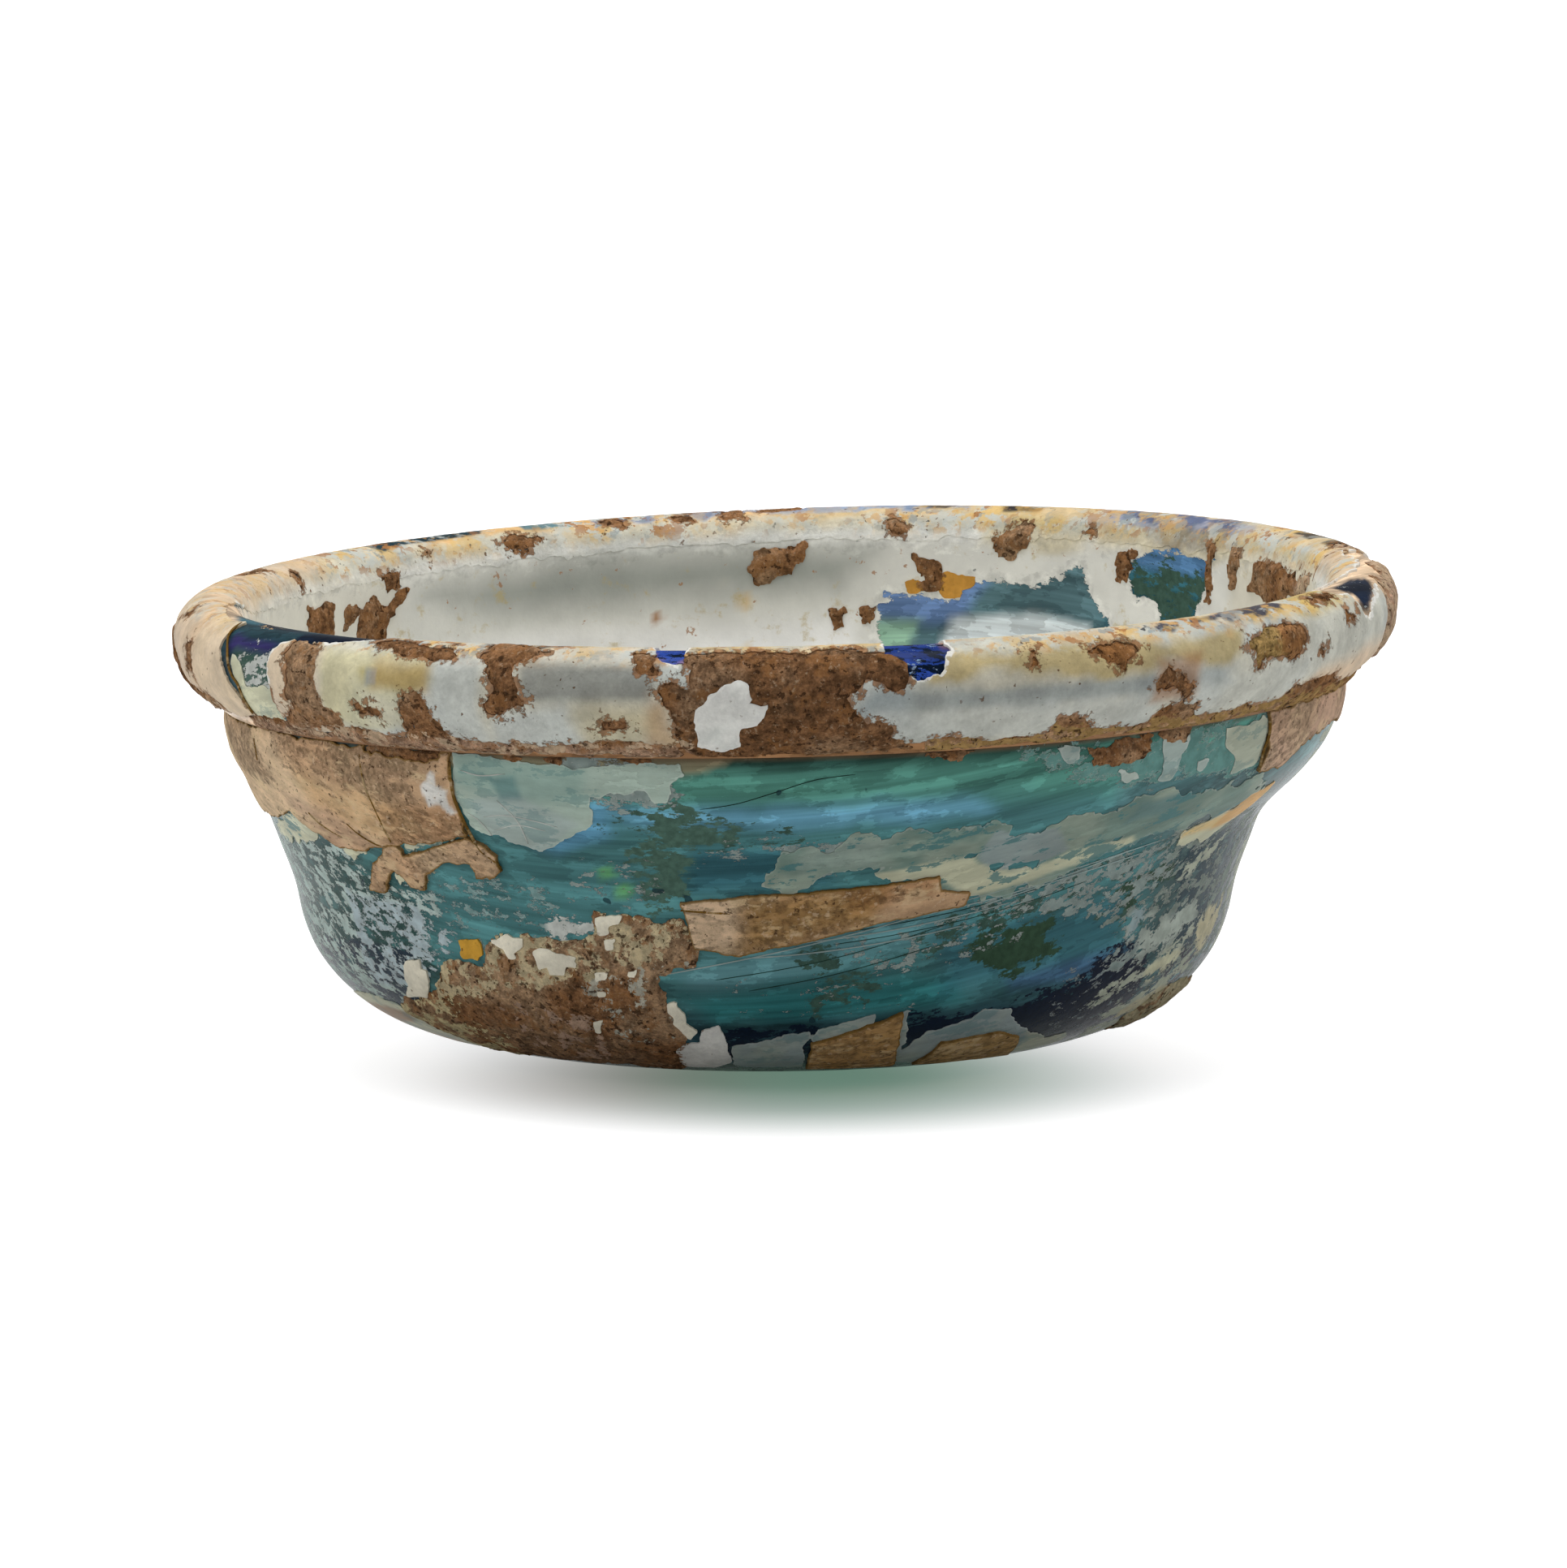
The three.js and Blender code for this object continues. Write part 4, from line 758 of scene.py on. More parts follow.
# Outlines on the wall: angle, and length from the neck down to the foot
WALL_PIECES = {
    "soil_neck": [
        [(-30, 0.06), (-29, 0.4), (-25, 0.5), (-22, 0.4), (-21, 0.06)],
        [(-17, 0.06), (-16, 0.3), (-12, 0.3), (-11, 0.06)],
        [(13, 0.06), (14, 0.5), (17, 0.7), (19, 0.06)],
        [(38, 0.06), (39, 0.5), (44, 0.5), (46, 0.06)],
        [(-48, 0.06), (-47, 0.5), (-40, 0.6), (-37, 0.4), (-37, 0.06)],
    ],
    "patina_chip_yellow": [[(-39.4, 15.3), (-36.6, 15.2), (-36.1, 16.2), (-37, 16.6), (-39.5, 16.7)]],
    "patina_chip_left": [
        [(-49.8, 17.4), (-47, 17.2), (-47.2, 17.9), (-46.2, 18), (-46.5, 18.9), (-48.2, 20.3), (-51, 20.3),
         (-53.2, 20.6), (-51, 19.4), (-51.2, 18.8)],
    ],
    "patina_chips": [
        [(-35, 15.2), (-33.8, 15), (-32.2, 14.6), (-31.5, 14.8), (-30, 14.8), (-30.2, 15.5), (-31.5, 16),
         (-30.8, 16.3), (-32.2, 16.4), (-33, 15.7), (-34.2, 15.4)],
        [(-28.8, 15.7), (-28, 15.4), (-26.8, 15.4), (-25.8, 15.7), (-22.5, 15.8), (-23.2, 16.2),
         (-22.8, 16.6), (-24.5, 16.6), (-25, 17.2), (-26.8, 17.2), (-27, 16.7), (-28.2, 16.9), (-28.5, 16.3)],
        [(-20.2, 12.8), (-16.8, 12.7), (-17.2, 13.3), (-18.5, 13.6), (-18.5, 14.1), (-20.2, 14.3)],
        [(-22.5, 21), (-21, 20.7), (-21.8, 21.4), (-22, 22.1), (-22.8, 22.1)],
        [(-19.2, 14.6), (-17.8, 14.4), (-18.5, 14.8), (-18.2, 15.1), (-19.2, 15.3)],
        [(-12.2, 19.1), (-11, 18.9), (-11, 19.4), (-10, 20), (-10, 20.8), (-8.8, 21.6), (-10, 22.4),
         (-11, 21.4), (-11.8, 20.8), (-11.5, 20.3), (-12.2, 19.8)],
        [(-21, 16.8), (-19.8, 16.7), (-19, 16.9), (-19.5, 17.4), (-20.8, 17.5)],
        [(-16.8, 16.7), (-15.5, 16.6), (-15.8, 17.1), (-16.8, 17.2)],
        [(-20.8, 18.4), (-19.8, 18.3), (-19.8, 18.6), (-20.8, 18.7)],
    ],
    "crust_sheet_left": [
        [(-128, 0.1), (-35.5, 0.1), (-35.3, 6.4), (-40, 7.6), (-46.5, 8.2), (-52, 9.4), (-57, 9.4),
         (-62, 8.3), (-66, 6.6), (-72, 7.8), (-84, 8.6), (-100, 10), (-112, 9), (-124, 6)],
    ],
    "crust_flake_left": [
        [(-53.4, 12.4), (-51.5, 10.9), (-48.2, 8.8), (-46.5, 8.1), (-45.2, 8.7), (-45.2, 9.3), (-42, 8.6),
         (-38, 7.4), (-35.2, 6.7), (-33.2, 7.1), (-31.2, 8.4), (-30.8, 9.8), (-31.8, 10.2), (-34.5, 10.3),
         (-35.2, 9.4), (-38, 9.4), (-40.5, 9.9), (-42.4, 10.7), (-42.8, 11.8), (-45.2, 11.8), (-46.2, 11),
         (-47.8, 10.6), (-50.2, 12.6)],
    ],
    "film_sheet_left": [
        [(-35.2, 0.1), (-22.5, 0.6), (-21, 1.3), (-20, 2.2), (-20.5, 3.5), (-20, 4.9), (-21.2, 5.8),
         (-23, 6.4), (-24.5, 6.9), (-26, 7.6), (-27.8, 7.1), (-29.8, 6.9), (-31, 6.2), (-32, 6.2), (-34, 5.5),
         (-35, 4.5)],
        [(-21.4, 1), (-18.2, 0.5), (-10.2, 0.2), (-9.8, 1.2), (-11.5, 1.8), (-12, 3.2), (-13.4, 3.2),
         (-14.2, 2.2), (-16.2, 2.5), (-17.6, 2.1), (-19, 2.6), (-20.6, 2.4)],
    ],
    "soil_flake_middle": [
        [(-9.8, 11.6), (-2, 11), (8, 10.7), (20, 9.9), (20.4, 11), (24, 11.3), (23.6, 12.2), (14, 13.2),
         (4, 14.6), (-3, 15.5), (-8.4, 15)],
    ],
    "soil_wall_lower_left": [
        [(-44.2, 18.8), (-43, 17), (-39.5, 16.7), (-36.5, 16.6), (-36, 15.2), (-32.5, 14.6), (-26, 14.8),
         (-20.5, 14.2), (-20, 12.6), (-13.5, 12.6), (-9.5, 12.9), (-8.2, 13.8), (-7.6, 15.6), (-8.2, 16.3),
         (-12.8, 17), (-12.2, 19.3), (-10.5, 21), (-9, 21.7), (-12.2, 23.8), (-12.5, 27.6), (-46, 27.6),
         (-52, 24.8), (-58, 22.6), (-53.5, 20.8), (-48, 20.2)],
    ],
    "white_flake_lower": [
        [(-14, 24.7), (-11.5, 23.2), (-8.8, 22.9), (-8.2, 21.5), (-6, 21), (-5.4, 22.6), (-4.8, 25.6),
         (-8, 27.6), (-12.4, 27.4)],
    ],
    "soil_base_centre": [[(6, 22.8), (12, 21.4), (17.4, 20), (18.6, 24), (20.6, 27.6), (6.4, 27.6)]],
    "soil_base_right": [[(24.6, 23.4), (33, 22.6), (37.4, 23.6), (40, 26), (42, 27.6), (23.6, 27.6)]],
    "soil_seam_right": [[(31, 0.4), (40.4, 0.4), (38.6, 1.4), (35, 2), (32, 1.6)]],
    "crust_flake_right": [
        [(58.2, 0.1), (112, 0.1), (106, 4), (92, 3.4), (78, 2.4), (68, 2.8), (63, 4.4), (58.6, 4.2)],
    ],
    "film_strip_right": [[(53.6, 8.8), (61, 7.4), (62, 6), (66.4, 6), (66, 8.2), (60, 9.8), (54, 9.9)]],
    "soil_wall_right": [
        [(60, 23.6), (63, 21.4), (70, 21), (84, 22.4), (98, 23), (94, 26.4), (74, 27), (62, 25.6)],
    ],
    "crust_sheet_back": [
        [(150, 0.8), (196, 0.8), (203, 3.6), (196, 8.4), (184, 7.2), (172, 10.4), (158, 8), (148, 4)],
    ],
    "soil_wall_back": [[(150, 20), (160, 15.4), (176, 16.6), (188, 14.2), (198, 18.6), (192, 26), (158, 27)]],
    "soil_wall_far_left": [[(228, 22.6), (240, 20.6), (258, 21), (262, 23.4), (258, 27), (234, 27)]],
    "film_block_right": [
        [(50.4, 0.5), (50.8, 1.6), (53, 2.8), (52.8, 4), (57.2, 3.7), (57.9, 2.6), (57.9, 0.5)],
    ],
    "film_drips": [
        [(41, 0.5), (45, 0.5), (43.6, 1.6), (43, 3.5), (41.6, 3.4), (41.6, 1.8)],
        [(36, 2.4), (38, 2.9), (37, 3.4)],
        [(28, 0.4), (31, 0.4), (31, 1.4), (29.4, 1.6)],
        [(46.4, 2.6), (48.4, 2.4), (48, 3.4), (46.8, 3.5)],
    ],
    "film_layer_right": [
        [(-0.5, 10.1), (1.8, 7.9), (1.8, 7), (4.5, 6.9), (5.8, 7.8), (7.8, 6.2), (12, 6), (18.2, 6.1),
         (22.8, 5.9), (26.2, 6.6), (29.8, 6.1), (33.2, 5.6), (40, 4.9), (48.8, 4.5), (60, 4.8), (68.2, 6.8),
         (58.8, 7.8), (52.5, 8.3), (44.5, 8.6), (43.5, 8.1), (35.8, 8.8), (32.5, 9.5), (26.2, 9.5),
         (24.2, 9.7), (23, 8.6), (16, 9), (7.5, 9.8), (6.2, 10), (3, 10.7)],
        [(9, 9.7), (18.8, 8.4), (23, 8.3), (24.6, 8.8), (28.8, 9.8), (33.8, 9.2), (36, 8.5), (45, 7.7),
         (46, 8.9), (38, 10.4), (26, 12), (23.6, 12.1), (19.6, 11), (19, 10.4)],
    ],
    "film_veil_centre": [
        [(-4.4, 23.4), (0, 22.6), (5.6, 21.8), (5.6, 27.4), (-4.8, 27.4)],
        [(5.8, 22.8), (7, 21.6), (14.4, 19.8), (14.2, 20.9), (6.4, 23)],
    ],
    "film_veil_right": [
        [(17.4, 20), (18.2, 19.9), (19.4, 24.4), (22, 22.2), (26, 21.5), (28.8, 20.2), (33, 20.5),
         (35.8, 22.2), (38.6, 23.2), (44, 24.6), (48, 24), (51, 26), (46, 27.4), (19.4, 27.2)],
    ],
    "film_skirt_left": [
        [(-77, 9.6), (-73, 8.2), (-66, 7), (-62, 8.7), (-66, 9.9), (-72, 10.4)],
        [(-58.6, 9), (-52, 9.2), (-55, 10), (-56.6, 10.3)],
        [(-48, 10.8), (-43.6, 10.6), (-44, 11.4), (-47.6, 11.8)],
        [(-46.4, 8), (-38, 6.8), (-36.6, 7), (-44, 8.8)],
    ],
    "film_base_left": [
        [(-96, 25.2), (-84, 23.6), (-70, 21.8), (-60, 21.4), (-56, 22.6), (-52, 25), (-47, 27.4), (-60, 28),
         (-80, 28), (-94, 27.4)],
    ],
}

# What the pieces are like: the look and the slot, the thickness, the share of it that is left at the edge,
# the width of that bevel, how far the edge wanders and over what length, and how lumpy the top is
Kind = namedtuple("Kind", "look slot thickness edge bevel wander wander_length lumps")
KINDS = {
    "soil": Kind("soil", "soil", 0.26, 0.25, 0.7, 0.75, 2.2, 0.17),
    "spot": Kind("soil", "soil", 0.2, 0.25, 0.5, 0.6, 1.1, 0.14),
    "chip": Kind("patina", "patina", 0.18, 0.75, 0.2, 0.14, 1.0, 0.03),
    "flake": Kind("crust", "soil", 0.24, 0.8, 0.3, 0.16, 1.2, 0.05),
    "patina": Kind("patina", "patina", 0.2, 0.75, 0.2, 0.4, 1.6, 0.03),
    "crust": Kind("crust", "crust", 0.26, 0.8, 0.3, 0.3, 1.0, 0.05),
    "film": Kind("film", "film", 0.07, 0.8, 0.2, 0.45, 2.2, 0.01),
    "scrap": Kind("film", "film", 0.07, 0.8, 0.2, 0.95, 1.6, 0.01),
    "white": Kind("patina", "patina", 0.16, 0.7, 0.3, 0.25, 1.2, 0.02),
}
OTHER_KINDS = {
    "soil_flake_middle": "flake", "soil_base_centre": "flake", "soil_base_right": "flake",
    "patina_chips": "chip", "patina_chip_left": "chip", "soil_spots": "spot", "soil_inner_spots": "spot",
    "film_layer_right": "scrap", "film_skirt_left": "scrap",
}


def kind_of(name):
    return OTHER_KINDS.get(name, name.split("_")[0])


def stained_and_shaded(colour, tints, face, angle, length, points, edge_length=2.6):
    """The colour with soft stains, painted shade and painted light over it, one after the other."""
    edge = EDGE_NOISE.rough(points, edge_length)
    for outline, tint, softness, wander, strength in tints:
        depth = depth_in(face, outline, angle, length) + wander * edge
        colour = mix(colour, tint, strength * smooth(depth, -softness, softness))
    return colour


def patch_fields(patches, face, angle, length, points):
    """How far into the nearest patch a place lies, and that patch's colour. Behind, patches blend more."""
    field = np.full(angle.shape, -2.0)
    colour = spread(GREEN_GREY, points)
    behind = smooth(-np.cos(np.radians(angle)), -0.2, 0.1)
    stray = 0.0 if face is RIM else behind * 2.4 * TINT_NOISE.rough(points + 17, 7.0)
    for outline, limit, tint in patches:
        depth = depth_in(face, outline, angle, length) + stray
        value = np.minimum(depth, limit + 0.35 * stray)
        nearer = value > field
        field = np.where(nearer, value, field)
        colour[nearer] = tint
    return field, colour


# Where the enamel that lines the bowl starts, and where the sheets of it on the rim meet at the back
LINING_START = 11.4
BACK_SEAM = 178.6


# What the meshes carry for their materials: colours, and distances in millimetres
def dress_glass(face, angle, length, points):
    colour = spread(TEAL_DEEP if face is RIM else TEAL, points)
    colour = stained_and_shaded(colour, GLASS_TINTS[face], face, angle, length, points)
    film, film_colour = patch_fields(FILM_PATCHES[face], face, angle, length, points)
    dark, dark_colour = patch_fields(DARK_PATCHES[face], face, angle, length, points)
    if face is RIM:
        lining = np.full(angle.shape, 4.0)
        edge = EDGE_NOISE.rough(points, 2.2, 4, 0.7)
        broad_edge = EDGE_NOISE.rough(points + 60, 5.0, 5, 0.6)
        for outline, fine_wander, broad_wander in LINING_HOLES:
            ragged = fine_wander * edge + broad_wander * broad_edge
            lining = np.minimum(lining, -2.5 * (depth_in(face, outline, angle, length) + ragged))
        lining = np.minimum(lining, length - LINING_START)
        enamel = spread(LINING, points)
        enamel = stained_and_shaded(enamel, ENAMEL_TINTS, face, angle, length, points)
        film_colour = np.where((lining > film)[:, None], enamel, film_colour)
        film = np.maximum(film, lining)
    return {"paint": colour, "film": film, "film_paint": film_colour, "dark": dark, "dark_paint": dark_colour}


def dress_patina(name, face, angle, length, points, depth, beside):
    if name == "patina_chip_yellow":
        colour = spread(CHIP_YELLOW, points)
    elif name == "patina_inner_orange":
        colour = spread(screen(208, 152, 70), points)
    elif name == "patina_window":
        pale = smooth(EDGE_NOISE.rough(points, 3.0), -0.2, 0.5)
        colour = mix(spread(LINING, points), COOL_CREAM, pale)
    elif kind_of(name) == "chip":
        cream = smooth(EDGE_NOISE.rough(points, 3.0), 0, 0.5)
        colour = mix(spread(screen(232, 226, 206), points), CREAM, cream)
    else:
        broad = LUMP_NOISE.rough(points + 50, 5.0)
        colour = mix(spread(CREAM, points), COOL_CREAM, smooth(broad, -0.3, 0.4))
        if face is RIM:
            colour = mix(colour, LINING, smooth(length, 11.2, 12.2))
        if name.startswith("white"):
            colour[:] = BRIGHT_WHITE
    mottle = np.zeros(angle.shape)
    if face is RIM and name not in ("patina_inner_orange", "patina_window"):
        colour = stained_and_shaded(colour, ENAMEL_TINTS, face, angle, length, points)
        patchy = smooth(TINT_NOISE.rough(points + 40, 4.0), -0.45, 0.35)
        mottle = smooth(length, 6.9, 8.2) * (1 - smooth(length, 11.0, 12.6)) * lerp(0.25, 1.0, patchy)
        far_left = smooth(depth_in(RIM, box(238, 0, 300, 14), angle, length), -3, 3)
        mottle *= 1 - 0.5 * far_left
    seam = np.abs(angle - BACK_SEAM) < 2
    grime = np.where(seam, -1.2, np.clip(beside + 0.14, -1.2, 0.4))
    # No white edge against other pieces, in the bowl, at the far left and where the sheets meet
    plain = (beside > -0.35) | (length > 11.6) | (angle > 270) | seam
    return {"paint": colour, "mottle": mottle, "grime": grime, "rim": np.where(plain, 1.0, depth)}


def dress_soil(name, face, angle, length, points, depth, beside):
    broad = TINT_NOISE.rough(points + 9, 4.0)
    colour = spread(SOIL_MIDDLE, points)
    colour = mix(colour, SOIL_PALE, 0.6 * smooth(broad, 0.0, 0.5))
    colour = mix(colour, SOIL_DARK, 0.6 * smooth(-broad, 0.0, 0.5))
    colour = stained_and_shaded(colour, SOIL_TINTS[face], face, angle, length, points, 2.0)
    pale, pale_colour = patch_fields(PALE_PATCHES[face], face, angle, length, points)
    return {"paint": colour, "film": np.maximum(pale, -1.5), "film_paint": pale_colour}


def dress_crust(name, face, angle, length, points, depth, beside):
    broad = TINT_NOISE.rough(points + 31, 5.0)
    start, tints = CRUST_TINTS.get(name, (PEACH, []))
    colour = mix(spread(start, points), PEACH_LIGHT, 0.4 * smooth(broad, 0, 0.5))
    colour = stained_and_shaded(colour, [tint[1:] for tint in tints], face, angle, length, points)
    mottle = -0.3 + 1.1 * broad
    for density, outline, *_ in tints:
        inside = smooth(depth_in(face, outline, angle, length), -1.0, 0.6)
        mottle = lerp(mottle, density + 0.3 * broad, inside)
    return {"paint": colour, "mottle": mottle, "rim": depth}


def dress_film(name, face, angle, length, points, depth, beside):
    broad = TINT_NOISE.rough(points + 71, 3.0)
    start, tints = FILM_TINTS.get(name, (GREEN_GREY, []))
    colour = mix(spread(start, points), PALE_FILM, 0.4 * smooth(broad, -0.1, 0.5))
    colour = stained_and_shaded(colour, tints, face, angle, length, points)
    worn = 0.8 if kind_of(name) == "scrap" else 0.35
    return {"paint": colour, "worn": np.full(angle.shape, worn), "rim": depth}


# Where enamel shows through the soil, on each face, in the same form as the patches on the glass
PALE_PATCHES = {
    WALL: [
        ([(-46, 14), (-9, 11.6), (-8, 14.8), (-24, 17.4), (-38, 18.4), (-46, 20)], 0.0,
         screen(222, 204, 164)),
        ([(-64, 20), (-44, 19), (-38, 24), (-42, 28), (-62, 28)], -0.1, screen(222, 206, 160)),
        ([(-34, 20), (-22, 20.5), (-24, 25), (-34, 25)], -0.3, PEACH_PINK),
        ([(-22, 17), (-10, 15.4), (-9, 21), (-20, 22)], -0.45, CREAM),
        (box(56, 20, 104, 28), 0.3, screen(204, 192, 158)),
        ([(146, 14), (200, 13), (200, 28), (146, 28)], -0.4, CREAM),
        (box(226, 20, 264, 28), -0.2, CREAM),
    ],
    RIM: [
        (box(-76, -1, -9, 1.7), -0.15, PEACH_CREAM),
        (box(13, -1, 130, 1.7), 0.2, screen(188, 152, 98)),
        (box(150, -1, 268, 2), -0.2, PEACH_CREAM),
        (box(76, 2, 106, 14), 0.1, PEACH_CREAM),
    ],
}

# Soft stains in the soil, in the same form as those in the glass
SOIL_TINTS = {
    RIM: [
        ([(-75, -1), (-9, -1), (-9, 1.5), (-75, 1.7)], PEACH_PINK, 0.5, 0.5, 0.6),
        (box(-55, 3, -48, 9), SOIL_PALE, 0.8, 0.5, 0.5),
        (box(13, -1, 58, 1.5), PEACH, 0.5, 0.5, 0.7),
        (box(44, 4, 57, 9), SOIL_WARM, 0.8, 0.4, 0.7),
        (box(-12, 0, 11, 9), SOIL_DARK, 0.8, 0.6, 0.45),
        (box(20, 5, 34, 8), SOIL_WARM, 0.5, 0.3, 0.8),
        ([(48, 5), (53, 5.4), (52, 7.6), (47, 7)], OCHRE, 0.4, 0.9, 0.5),
        (box(74, 2, 106, 14), PEACH_PINK, 0.8, 0.4, 0.85),
    ],
    WALL: [
        ([(-42, 15), (-10, 12), (-10, 17), (-42, 19)], SOIL_PALE, 1.0, 1.2, 0.6),
        ([(-58, 21), (-46, 20), (-44, 28), (-56, 28)], SOIL_PALE, 1.5, 1.0, 0.6),
        (box(-40, 22, -14, 28), SOIL_DARK, 1.5, 1.0, 0.4),
        (box(56, 20, 100, 28), SOIL_PALE, 1.0, 0.8, 0.7),
    ],
}

# The colour that a sheet starts from, and its zones: density of brown mottles, outline, colour, softness,
# wander and strength
CRUST_TINTS = {
    "crust_sheet_left": (PEACH, [
        (-0.7, [(-130, 0), (-62, 0), (-58, 4), (-58, 8), (-84, 9), (-130, 10)], PEACH_LIGHT, 1.2, 0.8, 0.9),
        (-0.5, [(-60, 2.4), (-44, 3.4), (-42, 6), (-52, 8.4), (-60, 7.4)], screen(214, 180, 136), 1.0, 0.8,
         0.7),
        (0.55, [(-53, 0), (-36, 0), (-36, 3.4), (-43, 4.4), (-51, 2.6)], SOIL_PALE, 0.7, 0.5, 0.6),
        (0.35, [(-47, 4.4), (-36, 4), (-35, 7), (-46, 8)], SOIL_WARM, 0.8, 0.5, 0.35),
        (0.35, [(-84, 0), (-71, 0), (-66, 3.6), (-78, 4)], SOIL_PALE, 0.7, 0.5, 0.6),
        (0.2, [(-64, 0), (-53, 0), (-54, 2.4), (-62, 2.2)], PEACH, 0.7, 0.5, 0.6),
        (-2.0, [(-40, 2.2), (-38, 1.2), (-37, 1.4), (-37, 2.2), (-35.8, 2.6), (-36.4, 4.1), (-37.5, 3.7),
                (-39, 3.9), (-39.8, 2.9)], BRIGHT_WHITE, 0.12, 0.7, 0.95),
        (-0.4, [(-66, 4.6), (-56, 5), (-48, 8), (-56, 9.6), (-62, 8.4)], PEACH_PINK, 0.9, 0.6, 0.6),
    ]),
    "crust_flake_left": (PEACH, [
        (-0.1, [(-54, 8), (-45, 8), (-46, 13), (-54, 13)], SOIL_PALE, 0.5, 0.4, 0.4),
    ]),
    "crust_flake_right": (PEACH_PINK, [
        (-0.1, [(58, 0), (72, 0), (66, 2.4), (58, 2.2)], SOIL_PALE, 0.6, 0.4, 0.4),
    ]),
    "soil_flake_middle": (PEACH, [
        (-0.3, box(-10, 11, -3, 15), PEACH_CREAM, 0.8, 0.5, 0.8),
        (0.15, [(-2, 11), (14, 10), (12, 13.4), (-3, 15.6)], GOLD_BROWN, 1.0, 0.6, 0.85),
        (0.0, [(8, 10), (20.4, 9.6), (20.4, 11.2), (10, 12)], SOIL_WARM, 0.7, 0.4, 0.5),
        (-0.9, [(13, 12.6), (20, 11.2), (24.4, 11), (24, 12.6), (14, 13.6)], PEACH, 0.35, 0.3, 0.9),
    ]),
    "soil_base_centre": (screen(178, 140, 92), [
        (0.0, [(5, 20), (20, 19), (21, 28), (5, 28)], screen(188, 148, 96), 0.8, 0.8, 0.6),
    ]),
    "soil_base_right": (screen(176, 142, 94), [
        (-0.1, box(23, 22, 43, 28), screen(190, 156, 106), 0.8, 0.8, 0.6),
    ]),
}

# The same for film, without mottles
FILM_TINTS = {
    "film_strip_right": (CREAM_FILM, [
        ([(60, 5.6), (67, 5.6), (67, 8.4), (60, 8.8)], ORANGE, 0.3, 0.3, 0.95),
        ([(53, 8.4), (60, 7.6), (60, 8.8), (54, 9.2)], YELLOW, 0.3, 0.3, 0.7),
    ]),
    "film_layer_right": (screen(112, 134, 124), [
        (box(3, 6, 12, 9), GREEN_GREY, 0.8, 0.4, 0.5),
        ([(23, 5.8), (26, 6.6), (31, 6.4), (35, 8.6), (32.5, 9.6), (26, 9.9), (23.6, 8.4)], GREY_VEIL, 0.15,
         0.3, 0.8),
        ([(40, 5), (48, 4.6), (46, 6.4), (40, 7)], screen(96, 124, 122), 0.3, 0.6, 0.8),
        ([(-4, 11.3), (3, 11), (8, 10.3), (10, 9.9), (18.8, 8.8), (23, 8.6), (24, 9.2), (28.5, 10),
          (33.8, 9.5), (36, 8.8), (43.8, 8.1), (45, 8.7), (38, 9.9), (26, 11.4), (24, 11.7), (19.8, 10.1)],
         CREAM_FILM, 0.15, 0.25, 0.9),
    ]),
    "film_rim_left": (CREAM_FILM, []),
    "film_block_right": (PALE_FILM, []),
    "film_drips": (screen(160, 174, 168), []),
    "film_veil_centre": (GREY_VEIL, []),
    "film_veil_right": (GREY_VEIL, [
        ([(38, 23), (52, 23), (52, 28), (42, 28)], CREAM_FILM, 0.6, 0.5, 0.7),
    ]),
    "film_skirt_left": (CREAM_FILM, []),
    "film_base_left": (CREAM_FILM, [
        ([(-88, 24.8), (-70, 23), (-58, 22.4), (-56, 24), (-72, 25.4), (-88, 26.6)], SOIL_MIDDLE, 0.3, 0.9,
         0.8),
        ([(-80, 26.6), (-60, 26), (-52, 26.4), (-60, 28), (-80, 28)], SOIL_PALE, 0.4, 0.9, 0.8),
    ]),
    "film_sheet_left": (screen(164, 182, 170), [
        ([(-35, 0), (-20, 0), (-21, 3), (-27, 3.4), (-35, 2)], screen(142, 168, 158), 0.6, 0.5, 0.8),
        ([(-34, 3.4), (-28, 2.6), (-22, 5), (-26, 8), (-32, 6.6)], screen(160, 174, 170), 0.4, 0.5, 0.8),
        ([(-31, 1.6), (-28, 1.4), (-27.4, 3), (-30, 3.2)], TEAL, 0.3, 0.3, 0.6),
    ]),
}

DRESSES = {"soil": dress_soil, "crust": dress_crust, "patina": dress_patina, "film": dress_film}

# How strongly all surfaces mirror
SHINE = 0.03


